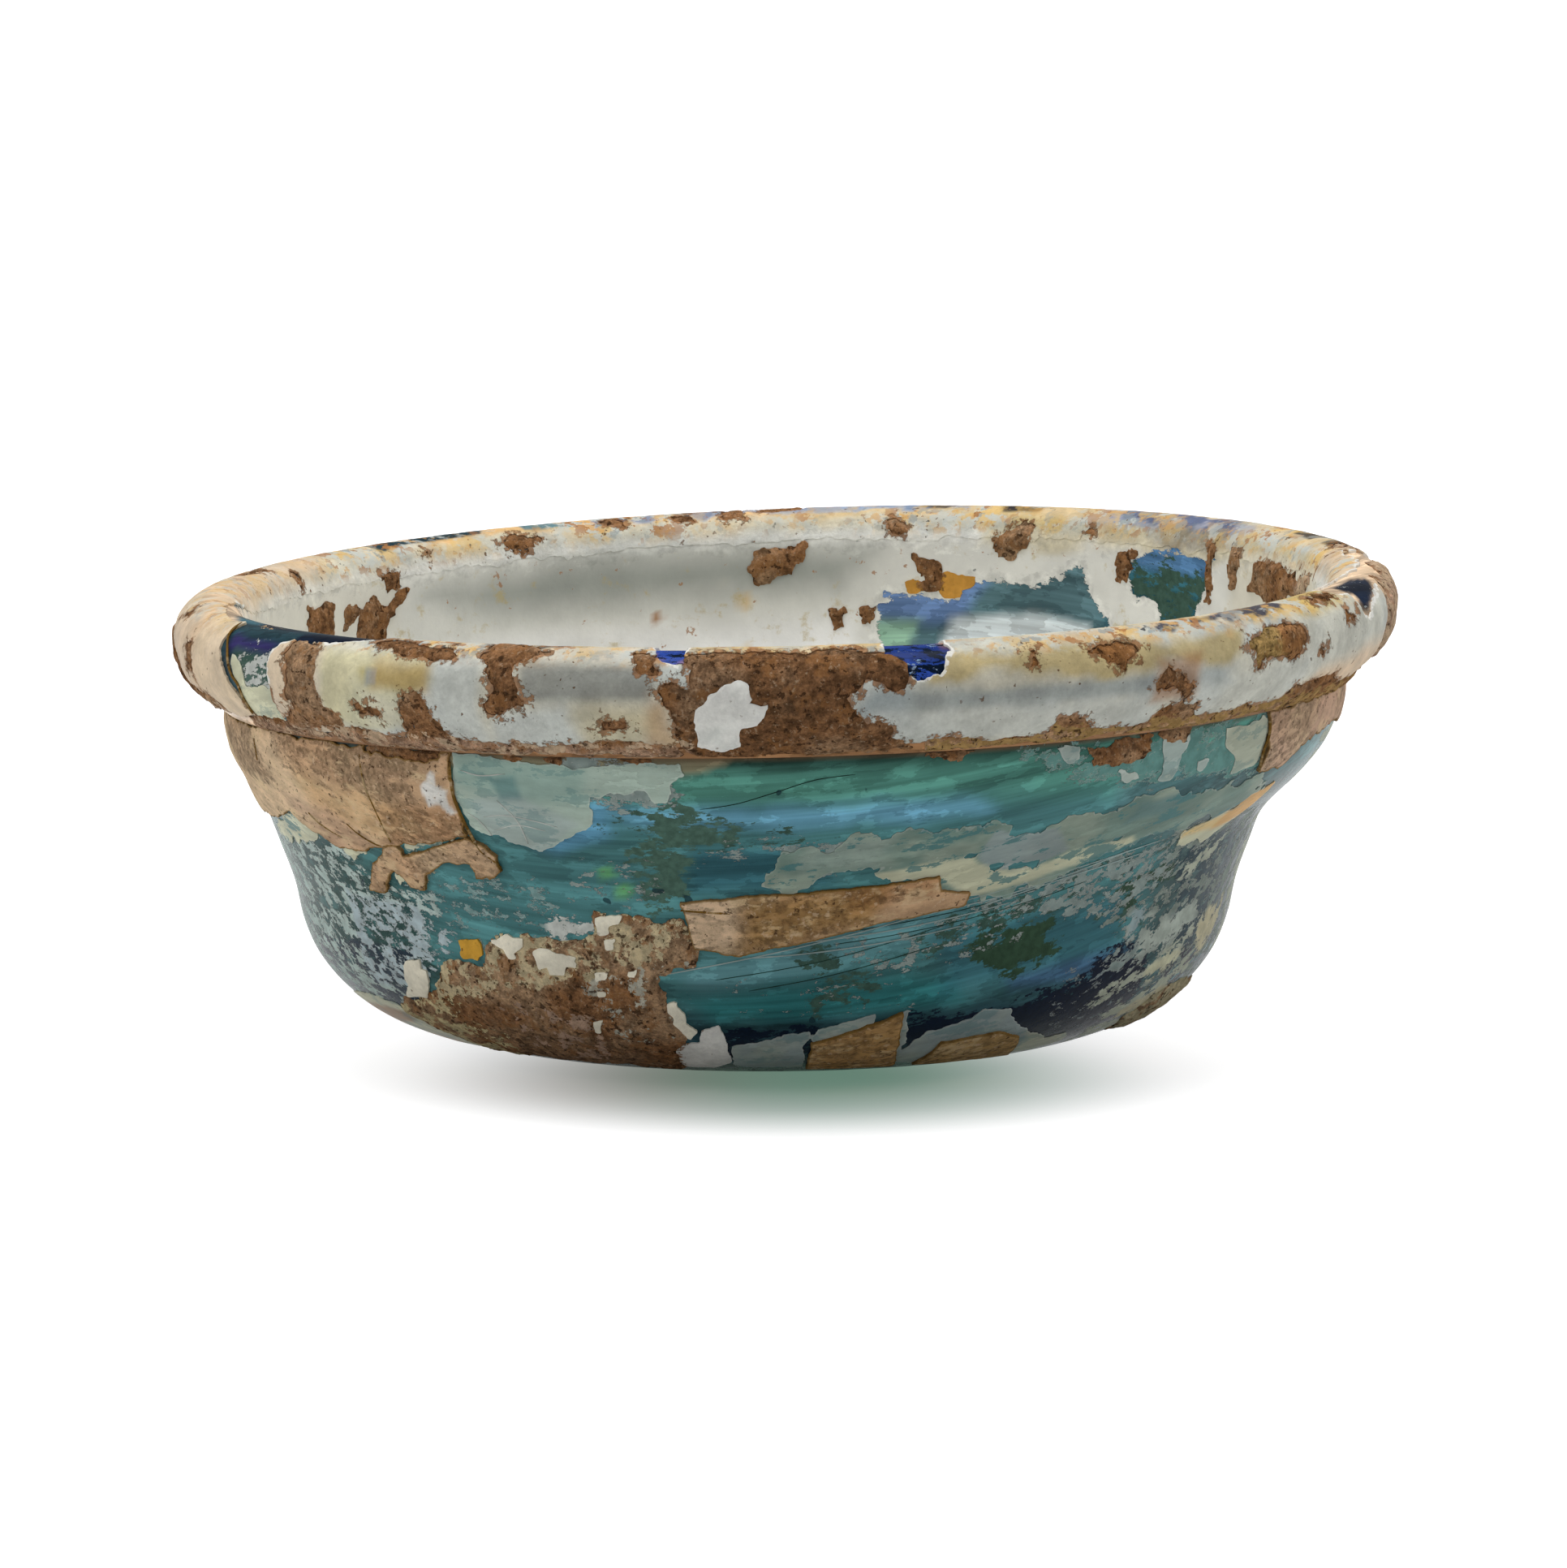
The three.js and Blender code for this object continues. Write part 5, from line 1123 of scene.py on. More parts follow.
class Surface:
    """A material that is built up in layers, from node to node. Scales are in cycles to the millimetre."""

    def __init__(self, name, roughness):
        self.material = bpy.data.materials.new(name)
        self.material.use_nodes = True
        self.tree = self.material.node_tree
        self.shader = self.tree.nodes["Principled BSDF"]
        self.shader.inputs["Roughness"].default_value = roughness
        self.shader.inputs["Specular IOR Level"].default_value = SHINE
        self.place = self.tree.nodes.new("ShaderNodeTexCoord").outputs["Object"]

    def node(self, kind, inputs, **settings):
        node = self.tree.nodes.new(kind)
        for key, value in settings.items():
            setattr(node, key, value)
        for key, value in inputs.items():
            if isinstance(value, bpy.types.NodeSocket):
                self.tree.links.new(value, node.inputs[key])
            else:
                node.inputs[key].default_value = value
        return node

    def read(self, name, output="Fac"):
        return self.node("ShaderNodeAttribute", {}, attribute_name=name).outputs[output]

    def noise(self, scale, detail=4.0, roughness=0.6, shift=0.0):
        inputs = {0: self.place, 1: (shift, shift, shift)}
        moved = self.node("ShaderNodeVectorMath", inputs, operation="ADD")
        inputs = {"Vector": moved.outputs[0], "Scale": scale / MM, "Detail": detail, "Roughness": roughness}
        return self.node("ShaderNodeTexNoise", inputs).outputs["Fac"]

    def streaks(self, along, across, detail=4.0, roughness=0.6):
        """Noise that is drawn out along the flow."""
        inputs = {0: self.read("flow", "Vector"), 1: (along, along, across)}
        scaled = self.node("ShaderNodeVectorMath", inputs, operation="MULTIPLY")
        inputs = {"Vector": scaled.outputs[0], "Scale": 1.0, "Detail": detail, "Roughness": roughness}
        return self.node("ShaderNodeTexNoise", inputs).outputs["Fac"]

    def number(self, operation, *values):
        return self.node("ShaderNodeMath", dict(enumerate(values)), operation=operation).outputs[0]

    def band(self, value, low, high, to_low=0.0, to_high=1.0):
        inputs = {"Value": value, "From Min": low, "From Max": high, "To Min": to_low, "To Max": to_high}
        return self.node("ShaderNodeMapRange", inputs, interpolation_type="SMOOTHSTEP").outputs["Result"]

    def over(self, below, above, mask):
        """above over below, where the mask shows it."""
        return self.mixed({"Factor": mask, "A": below, "B": above})

    def mixed(self, inputs, blend_type="MIX"):
        node = self.tree.nodes.new("ShaderNodeMix")
        node.data_type = "RGBA"
        node.blend_type = blend_type
        colour_sockets = {"Factor": 0, "A": 6, "B": 7}
        for key, value in inputs.items():
            socket = node.inputs[colour_sockets[key]]
            if isinstance(value, bpy.types.NodeSocket):
                self.tree.links.new(value, socket)
            elif isinstance(value, np.ndarray):
                socket.default_value = (*value, 1.0)
            else:
                socket.default_value = value
        return node.outputs[2]

    def shaded(self, colour, value, low, high, darkest, lightest):
        """The colour times a factor that follows the value."""
        factor = self.band(value, low, high, darkest, lightest)
        return self.mixed({"Factor": 1.0, "A": colour, "B": factor}, "MULTIPLY")

    def ragged(self, field, noise, wander, width=0.06):
        """A mask with a crisp ragged edge where a distance field passes zero."""
        offset = self.number("MULTIPLY", self.number("SUBTRACT", noise, 0.5), 8 * wander)
        value = self.number("ADD", field, offset)
        return self.band(value, -width, width), value

    def finish(self, colour, height, roughness=None):
        """height is in millimetres."""
        self.tree.links.new(colour, self.shader.inputs["Base Color"])
        bump = self.node("ShaderNodeBump", {"Height": height, "Distance": MM, "Strength": 1.0})
        self.tree.links.new(bump.outputs["Normal"], self.shader.inputs["Normal"])
        if roughness is not None:
            self.tree.links.new(roughness, self.shader.inputs["Roughness"])
        return self.material


def glass_material():
    glass = Surface("weathered_glass", 0.25)
    colour = glass.shaded(glass.read("paint", "Color"), glass.streaks(0.05, 0.8, 3.0), 0.3, 0.7, 0.7, 1.35)
    colour = glass.shaded(colour, glass.streaks(0.03, 3.5, 2.0), 0.3, 0.7, 0.9, 1.1)
    tone = glass.streaks(0.22, 0.5, 6.0, 0.6)
    lighter = glass.shaded(colour, tone, 0.3, 0.7, 1.2, 1.4)
    colour = glass.over(colour, lighter, glass.band(tone, 0.53, 0.54))
    darker = glass.shaded(colour, tone, 0.3, 0.7, 0.72, 0.82)
    colour = glass.over(colour, darker, glass.band(glass.streaks(0.16, 0.6, 6.0, 0.6), 0.56, 0.57))
    dark, _ = glass.ragged(glass.read("dark"), glass.streaks(0.6, 1.3, 8.0, 0.72), 0.9)
    dark_paint = glass.shaded(glass.read("dark_paint", "Color"), glass.noise(2.0), 0.3, 0.7, 0.8, 1.2)
    colour = glass.over(colour, dark_paint, dark)
    film, film_value = glass.ragged(glass.read("film"), glass.streaks(0.7, 1.35, 8.0, 0.74), 0.85)
    enamel = glass.band(film_value, 1.2, 2.0)
    thin = glass.shaded(glass.read("film_paint", "Color"), glass.noise(1.1, 6.0), 0.3, 0.7, 0.78, 1.18)
    thick = glass.shaded(glass.read("film_paint", "Color"), glass.noise(0.3, 6.0), 0.3, 0.7, 0.93, 1.06)
    stain = glass.band(glass.noise(0.5, 6.0, 0.7, 3.0), 0.58, 0.7, 0.0, 0.55)
    film_paint = glass.over(thin, glass.over(thick, OCHRE, stain), enamel)
    colour = glass.over(colour, film_paint, film)
    specks = glass.band(glass.noise(0.8, 5.0, 0.66, 12.0), 0.655, 0.68, 0.0, 0.75)
    colour = glass.over(colour, SOIL_WARM, glass.number("MULTIPLY", specks, enamel))
    edge = glass.number("MULTIPLY", film, glass.band(film_value, 0.08, 0.25, 0.35, 0.0))
    colour = glass.over(colour, BRIGHT_WHITE, edge)
    pits = glass.band(glass.noise(0.75, 1.0, 0.5, 7.0), 0.755, 0.775)
    pits = glass.number("MULTIPLY", pits, glass.band(enamel, 0.0, 1.0, 0.8, 0.0))
    colour = glass.over(colour, DEEP_TEAL * 0.6, pits)
    height = glass.number("MULTIPLY", film, 0.035)
    height = glass.number("ADD", height, glass.number("MULTIPLY", glass.noise(0.9, 5.0), 0.05))
    height = glass.number("SUBTRACT", height, glass.number("MULTIPLY", pits, 0.05))
    return glass.finish(colour, height, glass.band(film, 0.0, 1.0, 0.24, 0.5))


def patina_material():
    enamel = Surface("enamel_weathering", 0.5)
    colour = enamel.shaded(enamel.read("paint", "Color"), enamel.noise(0.45, 6.0), 0.32, 0.68, 0.84, 1.12)
    colour = enamel.shaded(colour, enamel.noise(3.0, 4.0), 0.3, 0.7, 0.94, 1.05)
    mottle = enamel.read("mottle")
    specks = [
        (YELLOW, 0.45, 1.0, 0.48, 0.58, 0.7), (COOL_CREAM, 0.6, 2.0, 0.52, 0.58, 0.9),
        (ORANGE, 0.9, 3.0, 0.56, 0.62, 0.8), (BLUE_GREY, 0.7, 4.0, 0.58, 0.63, 0.7),
        (SOIL_WARM, 0.6, 5.0, 0.585, 0.605, 0.9), (SOIL_MIDDLE, 1.6, 7.0, 0.63, 0.66, 0.9),
        (NAVY, 1.0, 6.0, 0.67, 0.7, 0.85),
    ]
    for tint, scale, shift, low, high, strength in specks:
        mask = enamel.band(enamel.noise(scale, 4.0, 0.62, shift), low, high, 0.0, strength)
        colour = enamel.over(colour, tint, enamel.number("MULTIPLY", mask, mottle))
    grime, _ = enamel.ragged(enamel.read("grime"), enamel.noise(1.8, 8.0, 0.75, 8.0), 0.42, 0.08)
    crumbs = enamel.shaded(SOIL_MIDDLE, enamel.noise(1.6, 6.0), 0.34, 0.66, 0.6, 1.3)
    colour = enamel.over(colour, crumbs, enamel.number("MULTIPLY", grime, 0.9))
    rare = enamel.band(enamel.noise(0.3, 2.0, 0.5, 9.0), 0.45, 0.62)
    pores = enamel.band(enamel.noise(2.4, 2.0, 0.5, 10.0), 0.69, 0.72)
    pores = enamel.number("MULTIPLY", pores, rare)
    colour = enamel.over(colour, SOIL_DARK, enamel.number("MULTIPLY", pores, 0.85))
    jag = enamel.noise(1.6, 4.0, 0.6, 11.0)
    rim = enamel.number("ADD", enamel.read("rim"), enamel.band(jag, 0.35, 0.65, -0.12, 0.12))
    colour = enamel.over(colour, BRIGHT_WHITE, enamel.band(rim, 0.1, 0.2, 0.9, 0.0))
    height = enamel.number("MULTIPLY", enamel.noise(1.0, 7.0, 0.65), 0.16)
    height = enamel.number("SUBTRACT", height, enamel.number("MULTIPLY", pores, 0.08))
    height = enamel.number("ADD", height, enamel.number("MULTIPLY", grime, 0.04))
    return enamel.finish(colour, height)


def soil_material():
    soil = Surface("soil_crust", 0.95)
    colour = soil.shaded(soil.read("paint", "Color"), soil.noise(1.3, 8.0, 0.68), 0.34, 0.66, 0.5, 1.45)
    pale, _ = soil.ragged(soil.read("film"), soil.noise(0.8, 8.0, 0.7, 5.0), 0.9)
    chip_tone = soil.noise(1.6, 6.0, 0.65, 6.0)
    chips = soil.shaded(soil.read("film_paint", "Color"), chip_tone, 0.34, 0.66, 0.7, 1.15)
    colour = soil.shaded(colour, soil.noise(5.0, 4.0, 0.6, 4.0), 0.32, 0.68, 0.72, 1.25)
    warm = soil.band(soil.noise(0.8, 5.0, 0.65, 1.0), 0.52, 0.62, 0.0, 0.5)
    colour = soil.over(colour, SOIL_WARM, warm)
    grains = soil.band(soil.noise(2.6, 4.0, 0.65, 2.0), 0.58, 0.68, 0.0, 0.4)
    colour = soil.over(colour, PEACH_CREAM, grains)
    colour = soil.over(colour, chips, pale)
    pores = soil.band(soil.noise(2.1, 3.0, 0.6, 3.0), 0.6, 0.64)
    colour = soil.over(colour, SOIL_DARK * 0.35, soil.number("MULTIPLY", pores, 0.8))
    height = soil.number("MULTIPLY", soil.noise(1.6, 9.0, 0.7), 0.5)
    height = soil.number("SUBTRACT", height, soil.number("MULTIPLY", pores, 0.12))
    return soil.finish(colour, height)


def crust_material():
    crust = Surface("peach_weathering", 0.75)
    tone = crust.streaks(0.5, 1.0, 7.0, 0.65)
    colour = crust.shaded(crust.read("paint", "Color"), tone, 0.32, 0.68, 0.74, 1.2)
    cream = crust.band(crust.streaks(0.3, 0.6, 7.0, 0.7), 0.5, 0.62, 0.0, 0.5)
    colour = crust.over(colour, screen(226, 202, 160), cream)
    mottle, _ = crust.ragged(crust.read("mottle"), crust.streaks(0.9, 1.9, 7.0, 0.7), 0.7, 0.3)
    brown = crust.shaded(crust.read("paint", "Color"), crust.noise(2.4, 5.0), 0.35, 0.65, 0.3, 0.75)
    colour = crust.over(colour, brown, crust.number("MULTIPLY", mottle, 0.85))
    pores = crust.band(crust.noise(2.6, 3.0, 0.6, 3.0), 0.64, 0.68)
    colour = crust.over(colour, SOIL_DARK * 0.5, crust.number("MULTIPLY", pores, 0.8))
    pale = crust.band(crust.noise(1.9, 4.0, 0.6, 5.0), 0.6, 0.66, 0.0, 0.5)
    colour = crust.over(colour, PEACH_CREAM, pale)
    colour = crust.over(colour, GOLD_EDGE, crust.band(crust.read("rim"), 0.04, 0.16, 0.8, 0.0))
    height = crust.number("MULTIPLY", crust.noise(1.1, 8.0, 0.68), 0.25)
    height = crust.number("SUBTRACT", height, crust.number("MULTIPLY", pores, 0.08))
    return crust.finish(colour, height)


def film_material():
    film = Surface("thin_film", 0.4)
    colour = film.shaded(film.read("paint", "Color"), film.streaks(0.25, 0.9, 6.0), 0.3, 0.7, 0.84, 1.14)
    patches = film.band(film.streaks(0.2, 0.55, 6.0, 0.62), 0.55, 0.565, 0.0, 0.5)
    lighter = film.shaded(colour, film.noise(2.0), 0.3, 0.7, 1.15, 1.35)
    colour = film.over(colour, lighter, patches)
    worn = film.band(film.streaks(0.3, 0.7, 8.0, 0.7), 0.55, 0.56)
    colour = film.over(colour, TEAL, film.number("MULTIPLY", worn, film.read("worn")))
    colour = film.over(colour, BRIGHT_WHITE, film.band(film.read("rim"), 0.03, 0.1, 0.16, 0.0))
    height = film.number("MULTIPLY", film.noise(0.9, 6.0), 0.06)
    height = film.number("ADD", height, film.number("MULTIPLY", patches, 0.03))
    return film.finish(colour, height)


MATERIALS = {
    "glass": glass_material(), "patina": patina_material(), "soil": soil_material(),
    "crust": crust_material(), "film": film_material(),
}


# Meshes
def add_piece(name, points, quads, data, material, nodes):
    """points are in millimetres. data has an array of colours, vectors or numbers to each name."""
    mesh = bpy.data.meshes.new(name)
    mesh.vertices.add(len(points))
    mesh.vertices.foreach_set("co", (points * MM).astype(np.float32).ravel())
    mesh.loops.add(4 * len(quads))
    mesh.loops.foreach_set("vertex_index", quads.astype(np.int32).ravel())
    mesh.polygons.add(len(quads))
    mesh.polygons.foreach_set("loop_start", np.arange(0, 4 * len(quads), 4, dtype=np.int32))
    mesh.polygons.foreach_set("use_smooth", np.ones(len(quads), bool))
    mesh.update(calc_edges=True)
    mesh.validate()
    for key, values in data.items():
        values = values.astype(np.float32)
        if values.ndim == 1:
            mesh.attributes.new(key, "FLOAT", "POINT").data.foreach_set("value", values)
        elif key == "flow":
            mesh.attributes.new(key, "FLOAT_VECTOR", "POINT").data.foreach_set("vector", values.ravel())
        else:
            paint = np.column_stack([values, np.ones(len(values), np.float32)])
            mesh.color_attributes.new(key, "FLOAT_COLOR", "POINT").data.foreach_set("color", paint.ravel())
    mesh.set_sharp_from_angle(angle=math.radians(50))
    mesh.materials.append(material)
    piece = bpy.data.objects.new(name, mesh)
    bpy.context.scene.collection.objects.link(piece)
    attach(piece, "root")
    if nodes:
        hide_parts(*nodes)
    return piece


def without_corner_contacts(cells):
    """The cells without those that touch the others at a corner only."""
    for _ in range(6):
        a, b, c, d = cells[:-1, :-1], cells[1:, :-1], cells[:-1, 1:], cells[1:, 1:]
        falling = a & d & ~b & ~c
        rising = b & c & ~a & ~d
        if not (falling.any() or rising.any()):
            break
        a &= ~falling
        b &= ~rising
    return cells


def ragged_edges(points):
    """The noise that makes edges ragged, for each length that the kinds have."""
    lengths = {kind.wander_length for kind in KINDS.values()}
    return {length: EDGE_NOISE.rough(points, length, 5, 0.68) for length in lengths}


def piece_depth(name, face, outlines, angle, length, edges):
    """How deep inside a piece's ragged edge places are."""
    kind = KINDS[kind_of(name)]
    depth = np.max([depth_in(face, outline, angle, length) for outline in outlines], axis=0)
    return depth + kind.wander * edges[kind.wander_length]


def closed_shell(top, bottom, cells, used, flip):
    """Quads of a sheet: its top, its bottom and its sides. The bottom's points come after the top's."""
    number = -np.ones(used.shape, int)
    number[used] = np.arange(used.sum())
    count = used.sum()
    i, j = np.nonzero(cells)
    ring = np.stack([number[i, j], number[i + 1, j], number[i + 1, j + 1], number[i, j + 1]], axis=1)
    quads = [ring, ring[:, ::-1] + count]
    padded = np.pad(cells, 1)
    sides = [((0, -1), 0, 1), ((1, 0), 1, 2), ((0, 1), 2, 3), ((-1, 0), 3, 0)]
    for (step_i, step_j), start, end in sides:
        alone = ~padded[i + 1 + step_i, j + 1 + step_j]
        a, b = ring[alone, start], ring[alone, end]
        quads.append(np.stack([a + count, b + count, b, a], axis=1))
    quads = np.vstack(quads)
    return np.vstack([top[used], bottom[used]]), quads[:, ::-1] if flip else quads


# How far the bottom of each piece of weathering is sunk into the glass
SINK_DEPTH = 0.05


def weathering_piece(name, face, outlines, avoid, cell=0.2):
    """A sheet or crust on a grid of cells, with a ragged edge that keeps clear of the pieces to avoid."""
    kind_name = kind_of(name)
    kind = KINDS[kind_name]
    corners = np.vstack([np.array(outline, float) for outline in outlines])
    margin = kind.wander + cell
    across = corners[:, 0] * face.per_degree
    x = np.arange(across.min() - margin, across.max() + margin, cell)
    top_length = 0.3 if face is RIM else 0.06
    y = np.arange(max(top_length, corners[:, 1].min() - margin), corners[:, 1].max() + margin, cell)
    x, y = np.meshgrid(x, y, indexing="ij")
    angle = x / face.per_degree
    base = face.at(angle, y)
    edges = ragged_edges(base)
    beside = np.full(x.shape, -9.0)
    for other, other_outlines in avoid:
        beside = np.maximum(beside, piece_depth(other, face, other_outlines, angle, y, edges))
    depth = np.minimum(piece_depth(name, face, outlines, angle, y, edges), 0.02 - beside)
    middle = (depth[:-1, :-1] + depth[1:, :-1] + depth[:-1, 1:] + depth[1:, 1:]) / 4
    cells = without_corner_contacts(middle > 0)
    touch = np.zeros(x.shape, int)
    for i in (0, 1):
        for j in (0, 1):
            touch[i:x.shape[0] - 1 + i, j:x.shape[1] - 1 + j] += cells
    slope_x, slope_y = np.gradient(depth, cell)
    size = np.maximum(0.25, slope_x ** 2 + slope_y ** 2)
    edge = (touch > 0) & (touch < 4)
    reach = 0.45 * cell
    x = x + np.where(edge, np.clip(-depth * slope_x / size, -reach, reach), 0)
    y = y + np.where(edge, np.clip(-depth * slope_y / size, -reach, reach), 0)
    angle = x / face.per_degree
    base = face.at(angle, y)
    depth = np.where(edge, 0, depth)
    lump = LUMP_NOISE.rough(base, 1.1, 5)
    height = kind.thickness * lerp(kind.edge, 1, smooth(depth, 0, kind.bevel))
    height = height + kind.lumps * lump * smooth(depth, 0, 0.4)
    if kind_name == "patina" and face is RIM:
        height = height * (1 - 0.9 * smooth(y, 10.8, 12.2))
    top = face.at(angle, y, np.maximum(0.03, height))
    bottom = face.at(angle, y, -SINK_DEPTH)
    used = touch > 0
    arguments = [values[used] for values in (angle, y, base, depth, beside)]
    data = DRESSES[kind.look](name, face, *arguments)
    data["flow"] = face.flow(angle[used], y[used])
    data = {key: np.concatenate([values, values]) for key, values in data.items()}
    points, quads = closed_shell(top, bottom, cells, used, face.side > 0)
    nodes = [name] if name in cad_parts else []
    return add_piece(name + "_fine", points, quads, data, MATERIALS[kind.look], nodes)


def near(outlines, others):
    """True where two pieces' outlines come within reach of each other."""
    def reach_of(lists):
        corners = np.vstack([np.array(outline, float) for outline in lists])
        return corners.min(axis=0), corners.max(axis=0)

    low, high = reach_of(outlines)
    other_low, other_high = reach_of(others)
    apart = np.array([4.0, 2.0])
    for turn in (-360, 0, 360):
        shift = np.array([turn, 0])
        if np.all(low - apart < other_high + shift) and np.all(high + apart > other_low + shift):
            return True
    return False


def cover(face, pieces):
    """Makes the pieces of one face in turn. Each keeps clear of those before it."""
    placed = []
    for name, outlines in pieces.items():
        avoid = [(other, others) for other, others in placed if near(outlines, others)]
        weathering_piece(name, face, outlines, avoid)
        placed.append((name, outlines))


def glass_piece(columns=424):
    """The glass, turned about its axis and leaned. Each row of points is one ring."""
    base = refined(foot_points(), 1.0)[:-1]
    profile = [(WALL, WALL_LENGTH + FOOT_RADIUS - point[0], *point) for point in base]
    for length in np.linspace(WALL_LENGTH, 0, 82):
        profile.append((WALL, length, *WALL.section(length)[:2]))
    profile += [(WALL, 0.0, *point) for point in refined(hollow_points(), 2.0)[1:]]
    for length in np.concatenate([np.linspace(0, 20, 60), np.linspace(20.6, 64.4, 46)]):
        profile.append((RIM, length, *RIM.section(length)[:2]))
    profile = [row for row in profile if row[2] > 0.3]
    count = len(profile)
    faces = np.repeat([row[0] is RIM for row in profile], columns)
    length, radius, height = (np.repeat([row[k] for row in profile], columns) for k in (1, 2, 3))
    angle = np.tile(np.linspace(0, 360, columns, endpoint=False), count)
    turn = np.radians(angle)
    points = lean(radius * np.sin(turn), -radius * np.cos(turn), np.maximum(0.0, height))
    parts = []
    for face in (WALL, RIM):
        chosen = faces == (face is RIM)
        values = dress_glass(face, angle[chosen], length[chosen], points[chosen])
        hold = np.minimum(1, radius[chosen] / FOOT_RADIUS)
        floor_start = length[chosen][hold == 1].max()
        values["flow"] = face.flow(angle[chosen], np.minimum(length[chosen], floor_start), hold)
        parts.append((chosen, values))
    data = {}
    for key, values in parts[0][1].items():
        data[key] = np.zeros((len(angle), *values.shape[1:]))
        for chosen, part in parts:
            data[key][chosen] = part[key]
    number = np.arange(count * columns).reshape(count, columns)
    after = np.roll(number, -1, axis=1)
    quads = np.stack([number[:-1], after[:-1], after[1:], number[1:]], axis=-1).reshape(-1, 4)
    # The two small holes on the axis close with fans of thin quads
    holes = [(0, KICK_HEIGHT, True), (count - 1, KICK_HEIGHT + FLOOR_THICKNESS, False)]
    for ring, height, flip in holes:
        centre = lean(np.array([0.0]), np.array([0.0]), np.array([height]))
        points = np.vstack([points, centre])
        first = number[ring, 0]
        data = {key: np.concatenate([values, values[first][None]]) for key, values in data.items()}
        middle = np.full(columns // 2, len(points) - 1)
        start = np.arange(0, columns, 2)
        fan = np.stack([middle, first + start, first + start + 1, first + (start + 2) % columns], axis=1)
        quads = np.vstack([quads, fan[:, ::-1] if flip else fan])
    return add_piece("vessel_glass_fine", points, quads, data, MATERIALS["glass"], ["glass_vessel"])


# Fine raised lines: cracks and rolled edges in the sheets, and scratches in the glass
def line_piece(name, face, lines, look, colour, width, height, lift):
    points = []
    quads = []
    flow = []
    for corners in lines:
        path = refined(np.array(corners, float) * np.array([face.per_degree, 1.0]), 0.15)
        along = np.gradient(path, axis=0)
        along /= np.linalg.norm(along, axis=1)[:, None]
        side = np.column_stack([-along[:, 1], along[:, 0]]) * width / 2
        steps = np.arange(len(path))
        taper = np.minimum(1, np.minimum(steps, steps[::-1]) / 4 + 0.2)[:, None]
        start = sum(len(part) for part in points)
        sections = [(path - side * taper, 0.3), (path, 1.0), (path + side * taper, 0.3), (path, -0.6)]
        rings = []
        for place, up in sections:
            rings.append(face.at(place[:, 0] / face.per_degree, place[:, 1], lift + height * up))
        points.append(np.stack(rings, axis=1).reshape(-1, 3))
        flow.append(np.repeat(face.flow(path[:, 0] / face.per_degree, path[:, 1]), 4, axis=0))
        for i in range(len(path) - 1):
            for k in range(4):
                a, b = start + 4 * i + k, start + 4 * i + (k + 1) % 4
                quads.append([a, b, b + 4, a + 4])
        last = start + 4 * (len(path) - 1)
        quads.append([start + 3, start + 2, start + 1, start])
        quads.append([last, last + 1, last + 2, last + 3])
    points = np.vstack(points)
    quads = np.array(quads)
    if face.side > 0:
        quads = quads[:, ::-1]
    count = len(points)
    paint = spread(colour, points)
    far = np.full(count, 1.0)
    data = {
        "paint": paint, "film_paint": paint, "dark_paint": paint, "flow": np.vstack(flow), "rim": far,
        "mottle": np.full(count, -2.0), "film": np.full(count, -2.0), "dark": np.full(count, -2.0),
    }
    return add_piece(name, points, quads, data, MATERIALS[look], [])


def flow_line(level, start, end):
    """A line that runs level with the streaks in the glass, from one angle to another."""
    angles = np.linspace(start, end, 6)
    return [(a, level + FLOW_RISE * math.cos(math.radians(a) + FLOW_TURN)) for a in angles]


